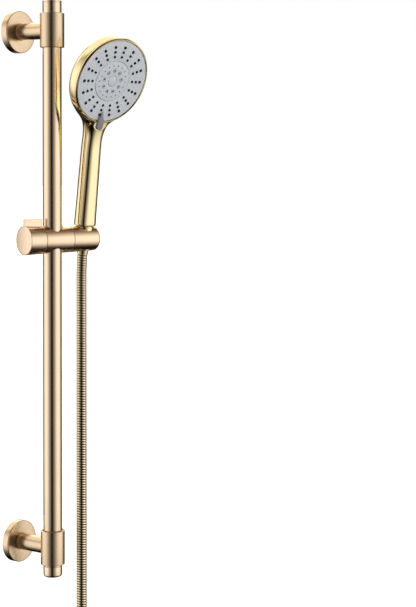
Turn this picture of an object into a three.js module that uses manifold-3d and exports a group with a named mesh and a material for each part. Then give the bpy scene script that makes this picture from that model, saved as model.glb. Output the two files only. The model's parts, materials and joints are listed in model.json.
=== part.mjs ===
// Slide-rail shower set: a wall rail on two brackets, a sliding clamp with a tilting holder,
// a hand shower with a spray selector, and a metal hose whose spare length is tied in a coil.
// Units are millimetres. +Z is up, the wall is the plane Y = 0 and the room lies towards -Y.
// The origin is the centre of the upper bracket's wall face.
import * as THREE from 'three';
import { mergeVertices } from 'three/addons/utils/BufferGeometryUtils.js';
import Module from 'manifold-3d';

const wasm = await Module();
wasm.setup();

// ---- driving dimensions -------------------------------------------------------------------
const GAP = 0.3;                  // clearance between pieces that touch
const DEGREE = Math.PI / 180;

const RAIL_RADIUS = 12.5;
const RAIL_WALL = 1.5;
const RAIL_LENGTH = 762;
const BRACKET_SPACING = 684;      // between the two collars' centres
const RAIL_STANDOFF = 65;         // wall to rail axis
const TOP_CAP_HEIGHT = 2.7;
const BOTTOM_CAP_HEIGHT = 14;
const CAP_PLUG = 12;              // depth of a cap's plug inside the tube

const ROSETTE_RADIUS = 28;
const ROSETTE_DEPTH = 10;
const PLATE_RADIUS = 23;
const PLATE_DEPTH = 5;
const ARM_RADIUS = 11;
const COLLAR_RADIUS = 16;
const COLLAR_HEIGHT = 45;
const SCREW_OFFSET = 16;          // wall screws either side of the arm

const SLIDER_DROP = 275;          // origin down to the barrel's axis
const SWIVEL = -15 * DEGREE;      // the barrel is turned this far about the rail
const KNOB_END = -44;             // stations along the barrel, rail axis at 0
const KNOB_SEAM = -19;
const HOLDER_SEAM = 24;
const HOLDER_END = 67;
const KNOB_RADIUS = 19.25;
const BARREL_RADIUS = 18.25;      // at the knob's seam
const HOLDER_RADIUS = 17.75;      // at the holder's seam
const HOLDER_END_RADIUS = 16.5;
const RAIL_BORE = 14.3;

const HANDSET_OFFSET = 50;        // handset axis along the barrel
const LEAN = 8.1 * DEGREE;        // handset axis leans into the room
const HANDSET_YAW = 5 * DEGREE;   // the handset sits turned this far in its cone
const HANDLE_BOTTOM = 18;         // stations along the handset axis, barrel axis at 0
const HANDLE_TOP = 205;
const NECK_START = 128;
const CONE_TOP = 17.5;
const CONE_BOTTOM = -17.5;
const CONE_TOP_RADIUS = 12;
const CONE_BOTTOM_RADIUS = 10;
const HOSE_EXIT = -20;            // lower end of the hose's top ferrule

const FACE_FORWARD = 32.2;        // face centre ahead of the handset axis
const FACE_HEIGHT = 214.4;        // face centre along the handset axis
const FACE_PITCH = 13.7 * DEGREE; // face looks down this far from square to the handle
const HEAD_RADIUS = 58.7;
const BEZEL_INNER = 56;
const FACE_RADIUS = 55.7;
const JET_DISC_RADIUS = 27.5;
const NOZZLE_ROWS = 18;
const NOZZLE_CIRCLES = [47.1, 40.5, 33.9];
const NOZZLE_RADII = [1.9, 1.7, 1.6];

const HOSE_RADIUS = 7;
const COIL_RADIUS = 70.7;         // centre line of the spare turns
const COIL_TURNS = 2;
const COIL_PITCH = 14.3;          // turns lie side by side
const COIL_DROP = 860;            // origin down to the coil's axis
const HOSE_BEND_LENGTH = 35;      // hose below the ferrule that straightens to vertical
const TAIL_LENGTH = 72;           // hose past the last turn

// ---- finishes -----------------------------------------------------------------------------
const finish = (color, roughness, metalness) =>
  new THREE.MeshStandardMaterial({ color, roughness, metalness });

const BRUSHED_GOLD = finish(0xd8bd98, 0.35, 1);
const ROSE_GOLD = finish(0xe6c7a4, 0.35, 1);
const POLISHED_GOLD = finish(0xe8cf94, 0.12, 1);
const HOSE_GOLD = finish(0xd9c07f, 0.2, 1);
const FACE_GREY = finish(0xc6cad0, 0.45, 0);
const TAB_GREY = finish(0x7c7a80, 0.5, 0);
const WHITE_PLASTIC = finish(0xe4e4e0, 0.5, 0);
const BLACK_RUBBER = finish(0x151515, 0.7, 0);
const BARE_STEEL = finish(0xb4b6b8, 0.3, 1);
const BRASS = finish(0xb89a58, 0.35, 1);
const BLUE_PLASTIC = finish(0x4a78a8, 0.5, 0);

// ---- shapes and booleans ------------------------------------------------------------------
const alongX = (geometry) => geometry.rotateY(Math.PI / 2);
const alongY = (geometry) => geometry.rotateX(-Math.PI / 2);
const moved = (geometry, x, y, z) => geometry.translate(x, y, z);

// A solid of revolution about Z from [radius, z] pairs.
function turned(profile, sides = 24) {
  const points = profile.map(([radius, z]) => new THREE.Vector2(radius, z));
  return new THREE.LatheGeometry(points, sides).rotateX(Math.PI / 2);
}

// A closed ring about Z between two radii and two stations.
function sleeve(inner, outer, from, to, sides = 24) {
  return turned([[inner, from], [outer, from], [outer, to], [inner, to], [inner, from]], sides);
}

// A plain or tapered round bar about Z.
function rod(radius, from, to, sides = 24, topRadius = radius) {
  return turned([[0, from], [radius, from], [topRadius, to], [0, to]], sides);
}

function block(x0, x1, y0, y1, z0, z1) {
  const geometry = new THREE.BoxGeometry(x1 - x0, y1 - y0, z1 - z0);
  return moved(geometry, (x0 + x1) / 2, (y0 + y1) / 2, (z0 + z1) / 2);
}

function signedVolume(positions, triangles) {
  const [a, b, c] = [new THREE.Vector3(), new THREE.Vector3(), new THREE.Vector3()];
  let volume = 0;
  for (let i = 0; i < triangles.length; i += 3) {
    a.fromArray(positions, triangles[i] * 3);
    b.fromArray(positions, triangles[i + 1] * 3);
    c.fromArray(positions, triangles[i + 2] * 3);
    volume += a.dot(b.cross(c)) / 6;
  }
  return volume;
}

// A closed geometry as a manifold with its faces pointing out.
function solid(geometry) {
  if (geometry instanceof wasm.Manifold) return geometry;
  const bare = geometry.clone();
  bare.deleteAttribute('normal');
  bare.deleteAttribute('uv');
  const merged = mergeVertices(bare, 1e-3);
  const positions = merged.attributes.position.array;
  const source = merged.index.array;
  const triangles = [];
  for (let i = 0; i < source.length; i += 3) {
    const [a, b, c] = [source[i], source[i + 1], source[i + 2]];
    if (a !== b && b !== c && c !== a) triangles.push(a, b, c);
  }
  if (signedVolume(positions, triangles) < 0) triangles.reverse();
  return new wasm.Manifold(new wasm.Mesh({
    numProp: 3,
    vertProperties: Float32Array.from(positions),
    triVerts: Uint32Array.from(triangles),
  }));
}

function join(...pieces) {
  return pieces.map(solid).reduce((whole, piece) => whole.add(piece));
}

function cut(base, ...tools) {
  return tools.map(solid).reduce((whole, tool) => whole.subtract(tool), solid(base));
}

function toGeometry(manifold) {
  const mesh = manifold.getMesh();
  const geometry = new THREE.BufferGeometry();
  geometry.setAttribute('position', new THREE.BufferAttribute(mesh.vertProperties, 3));
  geometry.setIndex(new THREE.BufferAttribute(mesh.triVerts, 1));
  geometry.computeVertexNormals();
  return geometry;
}

function add(parent, name, shape, material) {
  const mesh = new THREE.Mesh(toGeometry(solid(shape)), material);
  mesh.name = name;
  parent.add(mesh);
}

function place(parent, x, y, z, rotation = [0, 0, 0]) {
  const group = new THREE.Group();
  group.position.set(x, y, z);
  group.rotation.set(...rotation);
  parent.add(group);
  return group;
}

// ---- rail ---------------------------------------------------------------------------------
function addRail(parent) {
  const rail = place(parent, 0, -RAIL_STANDOFF, 0);
  const top = (RAIL_LENGTH - BRACKET_SPACING) / 2;
  const bottom = top - RAIL_LENGTH;
  const tubeTop = top - TOP_CAP_HEIGHT - GAP;
  const tubeBottom = bottom + BOTTOM_CAP_HEIGHT + GAP;
  const inner = RAIL_RADIUS - RAIL_WALL;
  const plug = inner - GAP;
  add(rail, 'rail_tube', sleeve(inner, RAIL_RADIUS, tubeBottom, tubeTop, 24), BRUSHED_GOLD);

  const edge = 0.5;
  const topCap = turned([
    [0, tubeTop - CAP_PLUG], [plug, tubeTop - CAP_PLUG], [plug, top - TOP_CAP_HEIGHT],
    [RAIL_RADIUS, top - TOP_CAP_HEIGHT], [RAIL_RADIUS, top - edge], [RAIL_RADIUS - edge, top], [0, top],
  ], 24);
  add(rail, 'rail_top_cap', topCap, BRUSHED_GOLD);

  const round = 3;
  const profile = [[0, bottom]];
  for (let step = 0; step <= 3; step += 1) {
    const angle = (step / 3) * Math.PI / 2;
    profile.push([RAIL_RADIUS - round + round * Math.sin(angle), bottom + round - round * Math.cos(angle)]);
  }
  const shoulder = bottom + BOTTOM_CAP_HEIGHT;
  profile.push([RAIL_RADIUS, shoulder], [plug, shoulder]);
  profile.push([plug, tubeBottom + CAP_PLUG], [0, tubeBottom + CAP_PLUG]);
  add(rail, 'rail_bottom_cap', turned(profile, 24), BRUSHED_GOLD);
}

// ---- one wall bracket, wall at Y = 0, rail axis at Y = -RAIL_STANDOFF ----------------------
function addBracket(parent, prefix, drop) {
  const bracket = place(parent, 0, 0, -drop);
  const bossRadius = 8;
  const bossEnd = -24;
  const screwStation = -17;       // set screw that locks the post to the plate's boss
  const screwRadius = 2;
  const headRadius = 4.2;
  const armBack = -PLATE_DEPTH - GAP;

  const screwHoles = [-SCREW_OFFSET, SCREW_OFFSET].flatMap((x) => [
    moved(alongY(rod(screwRadius + GAP, -PLATE_DEPTH - 1, 1, 12)), x, 0, 0),
    moved(alongY(rod(headRadius + GAP, -PLATE_DEPTH - 1, -PLATE_DEPTH + 2.5, 12)), x, 0, 0),
  ]);
  const plate = join(
    alongY(rod(PLATE_RADIUS, -PLATE_DEPTH, 0)),
    alongY(rod(bossRadius, bossEnd, -PLATE_DEPTH, 24)),
  );
  const setScrewSeat = moved(rod(screwRadius + GAP, -bossRadius - 1, -bossRadius + 2, 12), 0, screwStation, 0);
  add(bracket, `${prefix}_wall_plate`, cut(plate, setScrewSeat, ...screwHoles), BARE_STEEL);

  const front = -ROSETTE_DEPTH;
  const lip = 1;
  const skin = 2;
  const rosette = turned([
    [ARM_RADIUS + GAP, front], [ROSETTE_RADIUS - lip, front], [ROSETTE_RADIUS, front + lip],
    [ROSETTE_RADIUS, 0], [ROSETTE_RADIUS - skin, 0], [ROSETTE_RADIUS - skin, front + skin],
    [ARM_RADIUS + GAP, front + skin], [ARM_RADIUS + GAP, front],
  ], 28);
  add(bracket, `${prefix}_rosette`, alongY(rosette), BRUSHED_GOLD);

  const half = COLLAR_HEIGHT / 2;
  const edge = 0.6;
  const collar = turned([
    [0, -half], [COLLAR_RADIUS - edge, -half], [COLLAR_RADIUS, -half + edge],
    [COLLAR_RADIUS, half - edge], [COLLAR_RADIUS - edge, half], [0, half],
  ], 24);
  const post = cut(
    join(alongY(rod(ARM_RADIUS, -RAIL_STANDOFF, armBack)), moved(collar, 0, -RAIL_STANDOFF, 0)),
    moved(rod(RAIL_BORE, -half - 1, half + 1, 24), 0, -RAIL_STANDOFF, 0),
    alongY(rod(bossRadius + GAP, bossEnd - 2, 0, 24)),
    moved(rod(screwRadius + GAP, -ARM_RADIUS - 1, 0, 12), 0, screwStation, 0),
  );
  add(bracket, `${prefix}_post`, post, BRUSHED_GOLD);

  const bush = sleeve(RAIL_RADIUS + GAP, RAIL_BORE - GAP, -half + 1, half - 1, 24);
  add(bracket, `${prefix}_bush`, moved(bush, 0, -RAIL_STANDOFF, 0), WHITE_PLASTIC);

  const setScrew = moved(rod(screwRadius, -ARM_RADIUS + 0.5, -bossRadius + 1.5, 12), 0, screwStation, 0);
  add(bracket, `${prefix}_set_screw`, setScrew, BARE_STEEL);

  for (const [side, x] of [['left', -SCREW_OFFSET], ['right', SCREW_OFFSET]]) {
    const screw = turned([
      [0, -PLATE_DEPTH], [headRadius, -PLATE_DEPTH], [headRadius, -PLATE_DEPTH + 2.2],
      [screwRadius, -PLATE_DEPTH + 2.2], [screwRadius, -GAP], [0, -GAP],
    ], 12);
    add(bracket, `${prefix}_wall_screw_${side}`, moved(alongY(screw), x, 0, 0), BARE_STEEL);
  }
}

// ---- slider: liner, clamp body, lever knob and brake, all along the barrel (X) -------------
const SHOE_RADIUS = 7.9;
const SHOE_BORE = SHOE_RADIUS + 0.4;
const NOSE_RADIUS = 6;
const BOSS_RADIUS = 12.7;
const BOSS_END = -32;
const NOSE_SHOULDER = -20;        // step between the boss bore and the nose's hole
const CAM_SCREW_RADIUS = 2;

// Two radial ribs that face each other on the cam and the shoe while the clamp is closed.
function cammingRibs(from, to) {
  const ribInner = 4;
  const halfWidth = 0.8;
  return [
    block(from, to, -halfWidth, halfWidth, ribInner, SHOE_RADIUS - 0.4),
    block(from, to, -halfWidth, halfWidth, -SHOE_RADIUS + 0.4, -ribInner),
  ];
}

function addClamp(slider) {
  const linerHalf = 10.8;
  const splitWidth = 2;
  const liner = cut(
    sleeve(RAIL_RADIUS + GAP, RAIL_BORE - GAP, -linerHalf, linerHalf, 24),
    block(-splitWidth / 2, splitWidth / 2, 0, RAIL_BORE + 1, -linerHalf - 1, linerHalf + 1),
  );
  add(slider, 'slider_liner', liner, WHITE_PLASTIC);

  const clipGroove = { from: -30.2, to: -28.6, floor: 11.2 };
  const body = cut(
    join(
      alongX(rod(BARREL_RADIUS, KNOB_SEAM, HOLDER_SEAM, 24, HOLDER_RADIUS)),
      alongX(rod(BOSS_RADIUS, BOSS_END, KNOB_SEAM, 24)),
    ),
    rod(RAIL_BORE, -BARREL_RADIUS - 2, BARREL_RADIUS + 2, 24),
    alongX(rod(SHOE_BORE, BOSS_END - 1, NOSE_SHOULDER, 24)),
    alongX(rod(NOSE_RADIUS + GAP, NOSE_SHOULDER - 1, 0, 24)),
    alongX(rod(PIVOT_RADIUS + GAP, 0, HOLDER_SEAM + 1, 16)),
    alongX(sleeve(clipGroove.floor, BOSS_RADIUS + 1, clipGroove.from, clipGroove.to, 24)),
  );
  add(slider, 'slider_body', body, ROSE_GOLD);

  const clip = sleeve(clipGroove.floor + GAP, BOSS_RADIUS, clipGroove.from + GAP, clipGroove.to - GAP, 24);
  add(slider, 'knob_clip', alongX(clip), BARE_STEEL);
}

function addBrake(slider) {
  const ribHeight = 1.4;
  const ribMeet = -26.5;          // where the shoe's ribs and the cam's ribs face each other
  const flangeBack = ribMeet + ribHeight;
  const flangeFront = -22.6;
  const noseEnd = -RAIL_BORE - 0.1;
  const shoe = join(
    alongX(rod(SHOE_RADIUS, flangeBack, flangeFront, 24)),
    alongX(rod(NOSE_RADIUS, flangeFront, noseEnd, 24)),
    ...cammingRibs(ribMeet, flangeBack + 0.5),
  );
  add(slider, 'brake_shoe', shoe, BRASS);

  const spring = sleeve(NOSE_RADIUS + 0.4, SHOE_RADIUS - 0.1, flangeFront + GAP + 0.5, NOSE_SHOULDER - GAP, 20);
  add(slider, 'shoe_spring', alongX(spring), BARE_STEEL);

  const camFront = ribMeet - GAP;
  const camBack = -32.7;
  const cam = cut(
    join(
      alongX(rod(SHOE_RADIUS, camBack, camFront - ribHeight, 24)),
      ...cammingRibs(camFront - ribHeight - 0.5, camFront),
    ),
    alongX(rod(CAM_SCREW_RADIUS + GAP, camBack - 1, camFront - ribHeight + 1, 12)),
  );
  add(slider, 'lever_cam', cam, BRASS);
}

function addKnob(slider) {
  const webFront = -33;
  const webBack = -36;
  const capDepth = 1.8;
  const capRadius = 18.5;
  const screwHead = 5;
  const tabEnd = -17;
  const tabTop = 28;
  const tabHalf = 1.9;
  const knob = cut(
    join(
      alongX(rod(KNOB_RADIUS, KNOB_END, KNOB_SEAM - GAP, 28, BARREL_RADIUS)),
      block(KNOB_END, tabEnd, -tabHalf, tabHalf, BARREL_RADIUS + 0.2, tabTop),
      block(KNOB_END, KNOB_SEAM - GAP, -tabHalf, tabHalf, BARREL_RADIUS - 2, BARREL_RADIUS + 1),
    ),
    alongX(rod(BOSS_RADIUS + GAP, webFront, KNOB_SEAM + 2, 24)),
    alongX(rod(CAM_SCREW_RADIUS + GAP, webBack - 1, webFront + 1, 12)),
    alongX(rod(screwHead + 1, KNOB_END - 1, webBack, 24)),
    alongX(rod(capRadius + GAP, KNOB_END - 1, KNOB_END + capDepth + GAP, 28)),
  );
  add(slider, 'lever_knob', knob, ROSE_GOLD);
  add(slider, 'knob_cap', alongX(rod(capRadius, KNOB_END, KNOB_END + capDepth, 28)), ROSE_GOLD);

  const headTop = webBack - 3.3;
  const screwTip = -28.6;
  const camScrew = turned([
    [0, headTop], [screwHead, headTop], [screwHead, webBack - GAP],
    [CAM_SCREW_RADIUS, webBack - GAP], [CAM_SCREW_RADIUS, screwTip], [0, screwTip],
  ], 16);
  add(slider, 'cam_screw', alongX(camScrew), BARE_STEEL);
}

// ---- holder: tilts about the barrel, with a conical bore for the hose nut -------------------
const PIVOT_RADIUS = 3;

function addHolder(slider) {
  const face = HOLDER_SEAM + GAP;
  const washerDepth = 1.3;
  const washerRadius = 12;
  const counterbore = 33;
  const headRadius = 5.5;
  const fillet = 4;
  const profile = [[0, face], [HOLDER_RADIUS, face]];
  for (let step = 0; step <= 3; step += 1) {
    const angle = (step / 3) * Math.PI / 2;
    profile.push([
      HOLDER_END_RADIUS - fillet + fillet * Math.cos(angle),
      HOLDER_END - fillet + fillet * Math.sin(angle),
    ]);
  }
  profile.push([0, HOLDER_END]);
  const slope = (CONE_TOP_RADIUS - CONE_BOTTOM_RADIUS) / (CONE_TOP - CONE_BOTTOM);
  const reach = 25;
  const boreMiddle = (CONE_TOP_RADIUS + CONE_BOTTOM_RADIUS) / 2 + 0.4;
  const bore = rod(boreMiddle - slope * reach, -reach, reach, 24, boreMiddle + slope * reach);
  const holder = cut(
    alongX(turned(profile, 24)),
    moved(bore.rotateX(LEAN), HANDSET_OFFSET, 0, 0),
    alongX(rod(PIVOT_RADIUS + GAP, face - 1, counterbore + 1, 16)),
    alongX(rod(headRadius + GAP, counterbore, HANDSET_OFFSET, 24)),
    alongX(rod(washerRadius + GAP, face - 1, face + washerDepth + GAP, 24)),
  );
  add(slider, 'holder', holder, ROSE_GOLD);

  const washer = sleeve(PIVOT_RADIUS + GAP, washerRadius, face, face + washerDepth, 24);
  add(slider, 'friction_washer', alongX(washer), WHITE_PLASTIC);
  const spring = sleeve(PIVOT_RADIUS + GAP, headRadius, counterbore + GAP, counterbore + 1.3, 20);
  add(slider, 'spring_washer', alongX(spring), BARE_STEEL);
  const boltHead = counterbore + 1.6;
  const bolt = turned([
    [0, RAIL_BORE + 0.4], [PIVOT_RADIUS, RAIL_BORE + 0.4], [PIVOT_RADIUS, boltHead],
    [headRadius, boltHead], [headRadius, boltHead + 3], [0, boltHead + 3],
  ], 20);
  add(slider, 'pivot_bolt', alongX(bolt), BARE_STEEL);
}

// ---- handset, along its own axis (Z), face towards -Y --------------------------------------
const HEAD_SIDES = 32;
const smooth = (from, to, value) => THREE.MathUtils.smoothstep(value, from, to);
const blend = THREE.MathUtils.lerp;

// The face plane's Y at a station on the handset axis.
function facePlaneY(station) {
  return -FACE_FORWARD - (station - FACE_HEIGHT) * Math.tan(FACE_PITCH);
}

// The handle tapers a little from its bottom to the neck, then flares into the head.
const BOTTOM_HALF = { width: 14.75, depth: 13.5 };
const NECK_HALF = { width: 12.9, depth: 12.5 };
const FLARE = { station: 178, halfWidth: 34, topHalfWidth: 18 };

function taper(bottom, neck, station) {
  return blend(bottom, neck, (station - HANDLE_BOTTOM) / (NECK_START - HANDLE_BOTTOM));
}

function handleHalfWidth(station) {
  if (station < NECK_START) return taper(BOTTOM_HALF.width, NECK_HALF.width, station);
  const flare = smooth(NECK_START + 8, FLARE.station, station) ** 1.25;
  const neck = blend(NECK_HALF.width, FLARE.halfWidth, flare);
  return blend(neck, FLARE.topHalfWidth, smooth(FLARE.station, HANDLE_TOP, station));
}

function handleFront(station) {
  if (station < NECK_START) return -taper(BOTTOM_HALF.depth, NECK_HALF.depth, station);
  return Math.min(-NECK_HALF.depth, facePlaneY(station) + 0.5);
}

function handleBack(station) {
  if (station < NECK_START) return taper(BOTTOM_HALF.depth, NECK_HALF.depth, station);
  return blend(NECK_HALF.depth, -10, smooth(NECK_START, HANDLE_TOP + 15, station));
}

function handleLoft() {
  const stations = 16;
  const geometry = new THREE.CylinderGeometry(1, 1, 1, 24, stations).rotateX(Math.PI / 2);
  const position = geometry.attributes.position;
  const bottomRound = 2.5;
  for (let i = 0; i < position.count; i += 1) {
    const fraction = position.getZ(i) + 0.5;
    const station = blend(HANDLE_BOTTOM, HANDLE_TOP, fraction ** 0.85);
    const inset = fraction < 1e-6 ? bottomRound : 0;
    const front = handleFront(station) + inset;
    const back = handleBack(station) - inset;
    position.setXYZ(
      i,
      position.getX(i) * (handleHalfWidth(station) - inset),
      (front + back) / 2 + (position.getY(i) * (back - front)) / 2,
      station,
    );
  }
  return geometry;
}

// Moves a shape made in the head's frame (+Z out of the face, -Y down the handle) to the handset's.
function onHead(geometry) {
  const tilt = Math.PI / 2 + FACE_PITCH;
  return geometry.rotateX(tilt).translate(0, -FACE_FORWARD, FACE_HEIGHT);
}

const RIM_BACK = -17;
const CAVITY_FLOOR = -14;
const RIM_STEP = -3.3;            // the bezel ring sits on this step
const CAVITY_RADIUS = 53;

function addShell(handset) {
  const domeTop = -24.5;
  const dome = [[0, domeTop], [20, domeTop + 0.4], [38, domeTop + 1.8], [50, domeTop + 4.2]];
  const profile = [
    ...dome, [HEAD_RADIUS - 1.6, RIM_BACK - 0.6], [HEAD_RADIUS, RIM_BACK + 2],
    [HEAD_RADIUS, RIM_STEP], [0, RIM_STEP],
  ];
  const spigotBore = SPIGOT_RADIUS + GAP;
  const waterway = 6;             // bore that turns from the tube into the head
  const facing = 20;              // depth of metal cleared ahead of the face
  const toHead = new THREE.Vector3(0, -9, 14);
  const elbow = rod(waterway, 0, toHead.length(), 20);
  elbow.rotateX(Math.atan2(-toHead.y, toHead.z));
  const thumbRecess = 12;         // round hollow under the selector tab
  const cavityLip = -6;           // the bezel's bore is cleared to here
  const shell = cut(
    join(onHead(turned(profile, HEAD_SIDES)), handleLoft()),
    onHead(rod(HEAD_RADIUS + GAP, RIM_STEP, facing, HEAD_SIDES)),
    onHead(moved(rod(thumbRecess, RIM_STEP, facing, 24), 0, -HEAD_RADIUS, 0)),
    onHead(rod(BEZEL_INNER, cavityLip, 1, HEAD_SIDES)),
    onHead(rod(CAVITY_RADIUS, CAVITY_FLOOR, 1, HEAD_SIDES)),
    rod(TUBE_RADIUS + 1.6, HANDLE_BOTTOM + 10, TUBE_TOP + 6, 20),
    rod(spigotBore, HANDLE_BOTTOM - 1, SPIGOT_TOP + GAP, 24),
    moved(elbow, 0, 0, TUBE_TOP + 2),
  );
  add(handset, 'handset_shell', shell, POLISHED_GOLD);

  const bezelEdge = 0.9;
  const bezelFront = 1.2;
  const bezel = turned([
    [BEZEL_INNER, RIM_STEP + GAP], [HEAD_RADIUS, RIM_STEP + GAP], [HEAD_RADIUS, bezelFront - bezelEdge],
    [HEAD_RADIUS - bezelEdge, bezelFront], [BEZEL_INNER + 0.5, bezelFront],
    [BEZEL_INNER, bezelFront - 0.5], [BEZEL_INNER, RIM_STEP + GAP],
  ], HEAD_SIDES);
  add(handset, 'bezel_ring', onHead(bezel), POLISHED_GOLD);
}

const SPIGOT_RADIUS = 10.2;
const SPIGOT_TOP = 30;
const TUBE_RADIUS = 7;
const TUBE_TOP = 160;

function addWaterway(handset) {
  const spigotBottom = 6.6;
  const bore = 6;
  const throat = 2.5;
  const tubeBore = 5.2;
  add(handset, 'inlet_spigot', sleeve(bore, SPIGOT_RADIUS, spigotBottom, SPIGOT_TOP, 24), BRASS);
  add(handset, 'flow_restrictor', sleeve(throat, bore - GAP, 20, 24, 20), BLUE_PLASTIC);
  add(handset, 'water_tube', sleeve(tubeBore, TUBE_RADIUS, SPIGOT_TOP + 2 * GAP, TUBE_TOP, 20), WHITE_PLASTIC);
}

// ---- spray head internals, stacked along the face's axis -----------------------------------
const HUB_RADIUS = 5;
const SCREW_HOLE = 2.1;
const BASE_FRONT = -9.7;
const DISC_FRONT = -7.4;
const MAT_FRONT = -5.1;
const DETENT_CIRCLE = 38;
const SEAL_INNER = 49.4;
const SEAL_OUTER = 52;

function ringOf(count, radius, phase, make) {
  return Array.from({ length: count }, (_, i) => {
    const angle = phase + (i / count) * 2 * Math.PI;
    return make().rotateZ(angle).translate(radius * Math.cos(angle), radius * Math.sin(angle), 0);
  });
}

// Every nozzle of the spray face, made by a function of its circle's number.
function nozzles(make) {
  const phase = Math.PI / NOZZLE_ROWS - Math.PI / 2;
  return NOZZLE_CIRCLES.flatMap((radius, circle) => ringOf(NOZZLE_ROWS, radius, phase, () => make(circle)));
}

// The three ports that lead water to the jets while the selector stands in its middle position.
function waterPorts(from) {
  return ringOf(3, 24, Math.PI / 6, () => rod(3, from, 0, 10));
}

function addFixedHead(handset) {
  const outer = CAVITY_RADIUS - GAP;
  const back = CAVITY_FLOOR + GAP;
  const inlet = 5;
  const pocket = 2.3;
  const pocketFloor = -13.2;
  const screwEnd = -12.2;
  const base = cut(
    join(rod(outer, back, BASE_FRONT, HEAD_SIDES), rod(HUB_RADIUS, BASE_FRONT - 1, DISC_FRONT + 0.1, 20)),
    rod(SCREW_HOLE, screwEnd - GAP, 0, 12),
    moved(rod(pocket, pocketFloor, 0, 12), DETENT_CIRCLE, 0, 0),
    moved(rod(inlet, back - 1, 0, 16), 0, -40, 0),
    ...waterPorts(back - 1),
  );
  add(handset, 'diverter_base', onHead(toGeometry(base)), WHITE_PLASTIC);
  const seal = sleeve(SEAL_INNER, SEAL_OUTER, BASE_FRONT + GAP, BASE_FRONT + 1.7, HEAD_SIDES);
  add(handset, 'base_seal', onHead(seal), BLACK_RUBBER);

  const springTop = -12;
  const ballRadius = 1.6;
  const spring = sleeve(0.9, 1.8, pocketFloor + GAP, springTop, 12);
  add(handset, 'detent_spring', onHead(moved(spring, DETENT_CIRCLE, 0, 0)), BARE_STEEL);
  const ball = new THREE.SphereGeometry(ballRadius, 8, 6);
  add(handset, 'detent_ball', onHead(moved(ball, DETENT_CIRCLE, 0, springTop + ballRadius + GAP)), BARE_STEEL);

  const [shank, head] = [1.8, 4.6];
  const [headBack, headFront] = [-4, -1.9];
  const screw = turned([
    [0, screwEnd], [shank, screwEnd], [shank, headBack],
    [head, headBack], [head, headFront], [0, headFront],
  ], 16);
  add(handset, 'face_screw', onHead(screw), BARE_STEEL);
}

function addTurningHead(handset) {
  const through = -20;            // well behind every layer of the turning head
  const selector = cut(
    rod(SEAL_INNER - 2 * GAP, BASE_FRONT + GAP, DISC_FRONT, HEAD_SIDES),
    rod(HUB_RADIUS + GAP, through, 0, 20),
    sleeve(DETENT_CIRCLE - 2, DETENT_CIRCLE + 2, BASE_FRONT, BASE_FRONT + 1.5, 28),
    ...waterPorts(through),
  );
  add(handset, 'selector_disc', onHead(toGeometry(selector)), WHITE_PLASTIC);

  const nozzleTip = 1.4;
  const matInner = 30;
  const matOuter = 51;
  const mat = join(
    sleeve(matInner, matOuter, DISC_FRONT + GAP, MAT_FRONT, HEAD_SIDES),
    ...nozzles((circle) => {
      const radius = NOZZLE_RADII[circle];
      return rod(radius, MAT_FRONT - 0.5, nozzleTip, 6, radius - 0.35);
    }),
  );
  add(handset, 'nozzle_mat', onHead(toGeometry(mat)), BLACK_RUBBER);

  const plate = cut(
    sleeve(JET_DISC_RADIUS + GAP, FACE_RADIUS, MAT_FRONT + GAP, 0, HEAD_SIDES),
    ...nozzles((circle) => rod(NOZZLE_RADII[circle] + 0.4, MAT_FRONT - 1, 1, 6)),
  );
  add(handset, 'face_plate', onHead(toGeometry(plate)), FACE_GREY);

  const capRadius = 7;
  const capBack = -1.3;
  const screwSeat = { radius: 4.9, floor: -4.3 };
  const pinJets = { count: 18, circle: 21.5, radius: 0.5 };
  const slotJets = { count: 9, circle: 14.5, halfWidth: 0.6, halfLength: 1.4 };
  const slotJet = () => block(
    -slotJets.halfWidth, slotJets.halfWidth, -slotJets.halfLength, slotJets.halfLength, through, 2,
  );
  const jetDisc = cut(
    rod(JET_DISC_RADIUS, DISC_FRONT + GAP, GAP, HEAD_SIDES),
    rod(SCREW_HOLE, through, 1, 12),
    rod(screwSeat.radius, screwSeat.floor, 1, 16),
    rod(capRadius + GAP, capBack - GAP, 1, 24),
    ...ringOf(pinJets.count, pinJets.circle, 0, () => rod(pinJets.radius, through, 2, 4)),
    ...ringOf(slotJets.count, slotJets.circle, 0, slotJet),
  );
  add(handset, 'jet_disc', onHead(toGeometry(jetDisc)), FACE_GREY);
  const cap = turned([
    [0, capBack], [capRadius, capBack], [capRadius, 0.4], [capRadius * 0.6, 0.8], [0, 1],
  ], 24);
  add(handset, 'face_cap', onHead(cap), FACE_GREY);
  addSelectorTab(handset);
}

// The selector's finger tab: a wedge that rises from its tip on the spray face to the rim.
function addSelectorTab(handset) {
  const turn = -7 * DEGREE;       // the selector stands this far round from the handle
  const tip = -39.5;
  const halfWidth = 4.5;
  const shoulder = -55;
  const endCentre = -62.3;
  const outline = new THREE.Shape();
  outline.moveTo(0, tip);
  outline.lineTo(-halfWidth, shoulder);
  outline.lineTo(-halfWidth, endCentre);
  outline.absarc(0, endCentre, halfWidth, Math.PI, 2 * Math.PI, false);
  outline.lineTo(halfWidth, shoulder);
  const underside = 1.8;
  const tipHeight = 0.8;
  const fullHeight = 5;
  const settings = { depth: 1, bevelEnabled: false, curveSegments: 8 };
  const wedge = new THREE.ExtrudeGeometry(outline, settings);
  const position = wedge.attributes.position;
  for (let i = 0; i < position.count; i += 1) {
    const height = blend(tipHeight, fullHeight, smooth(-tip, -endCentre, -position.getY(i)));
    position.setZ(i, underside + position.getZ(i) * height);
  }
  const foot = block(-1.8, 1.8, -54.6, -51.5, GAP, underside + 0.5);
  const tab = toGeometry(join(wedge, foot));
  add(handset, 'selector_tab', onHead(tab.rotateZ(turn)), TAB_GREY);
}

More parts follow.
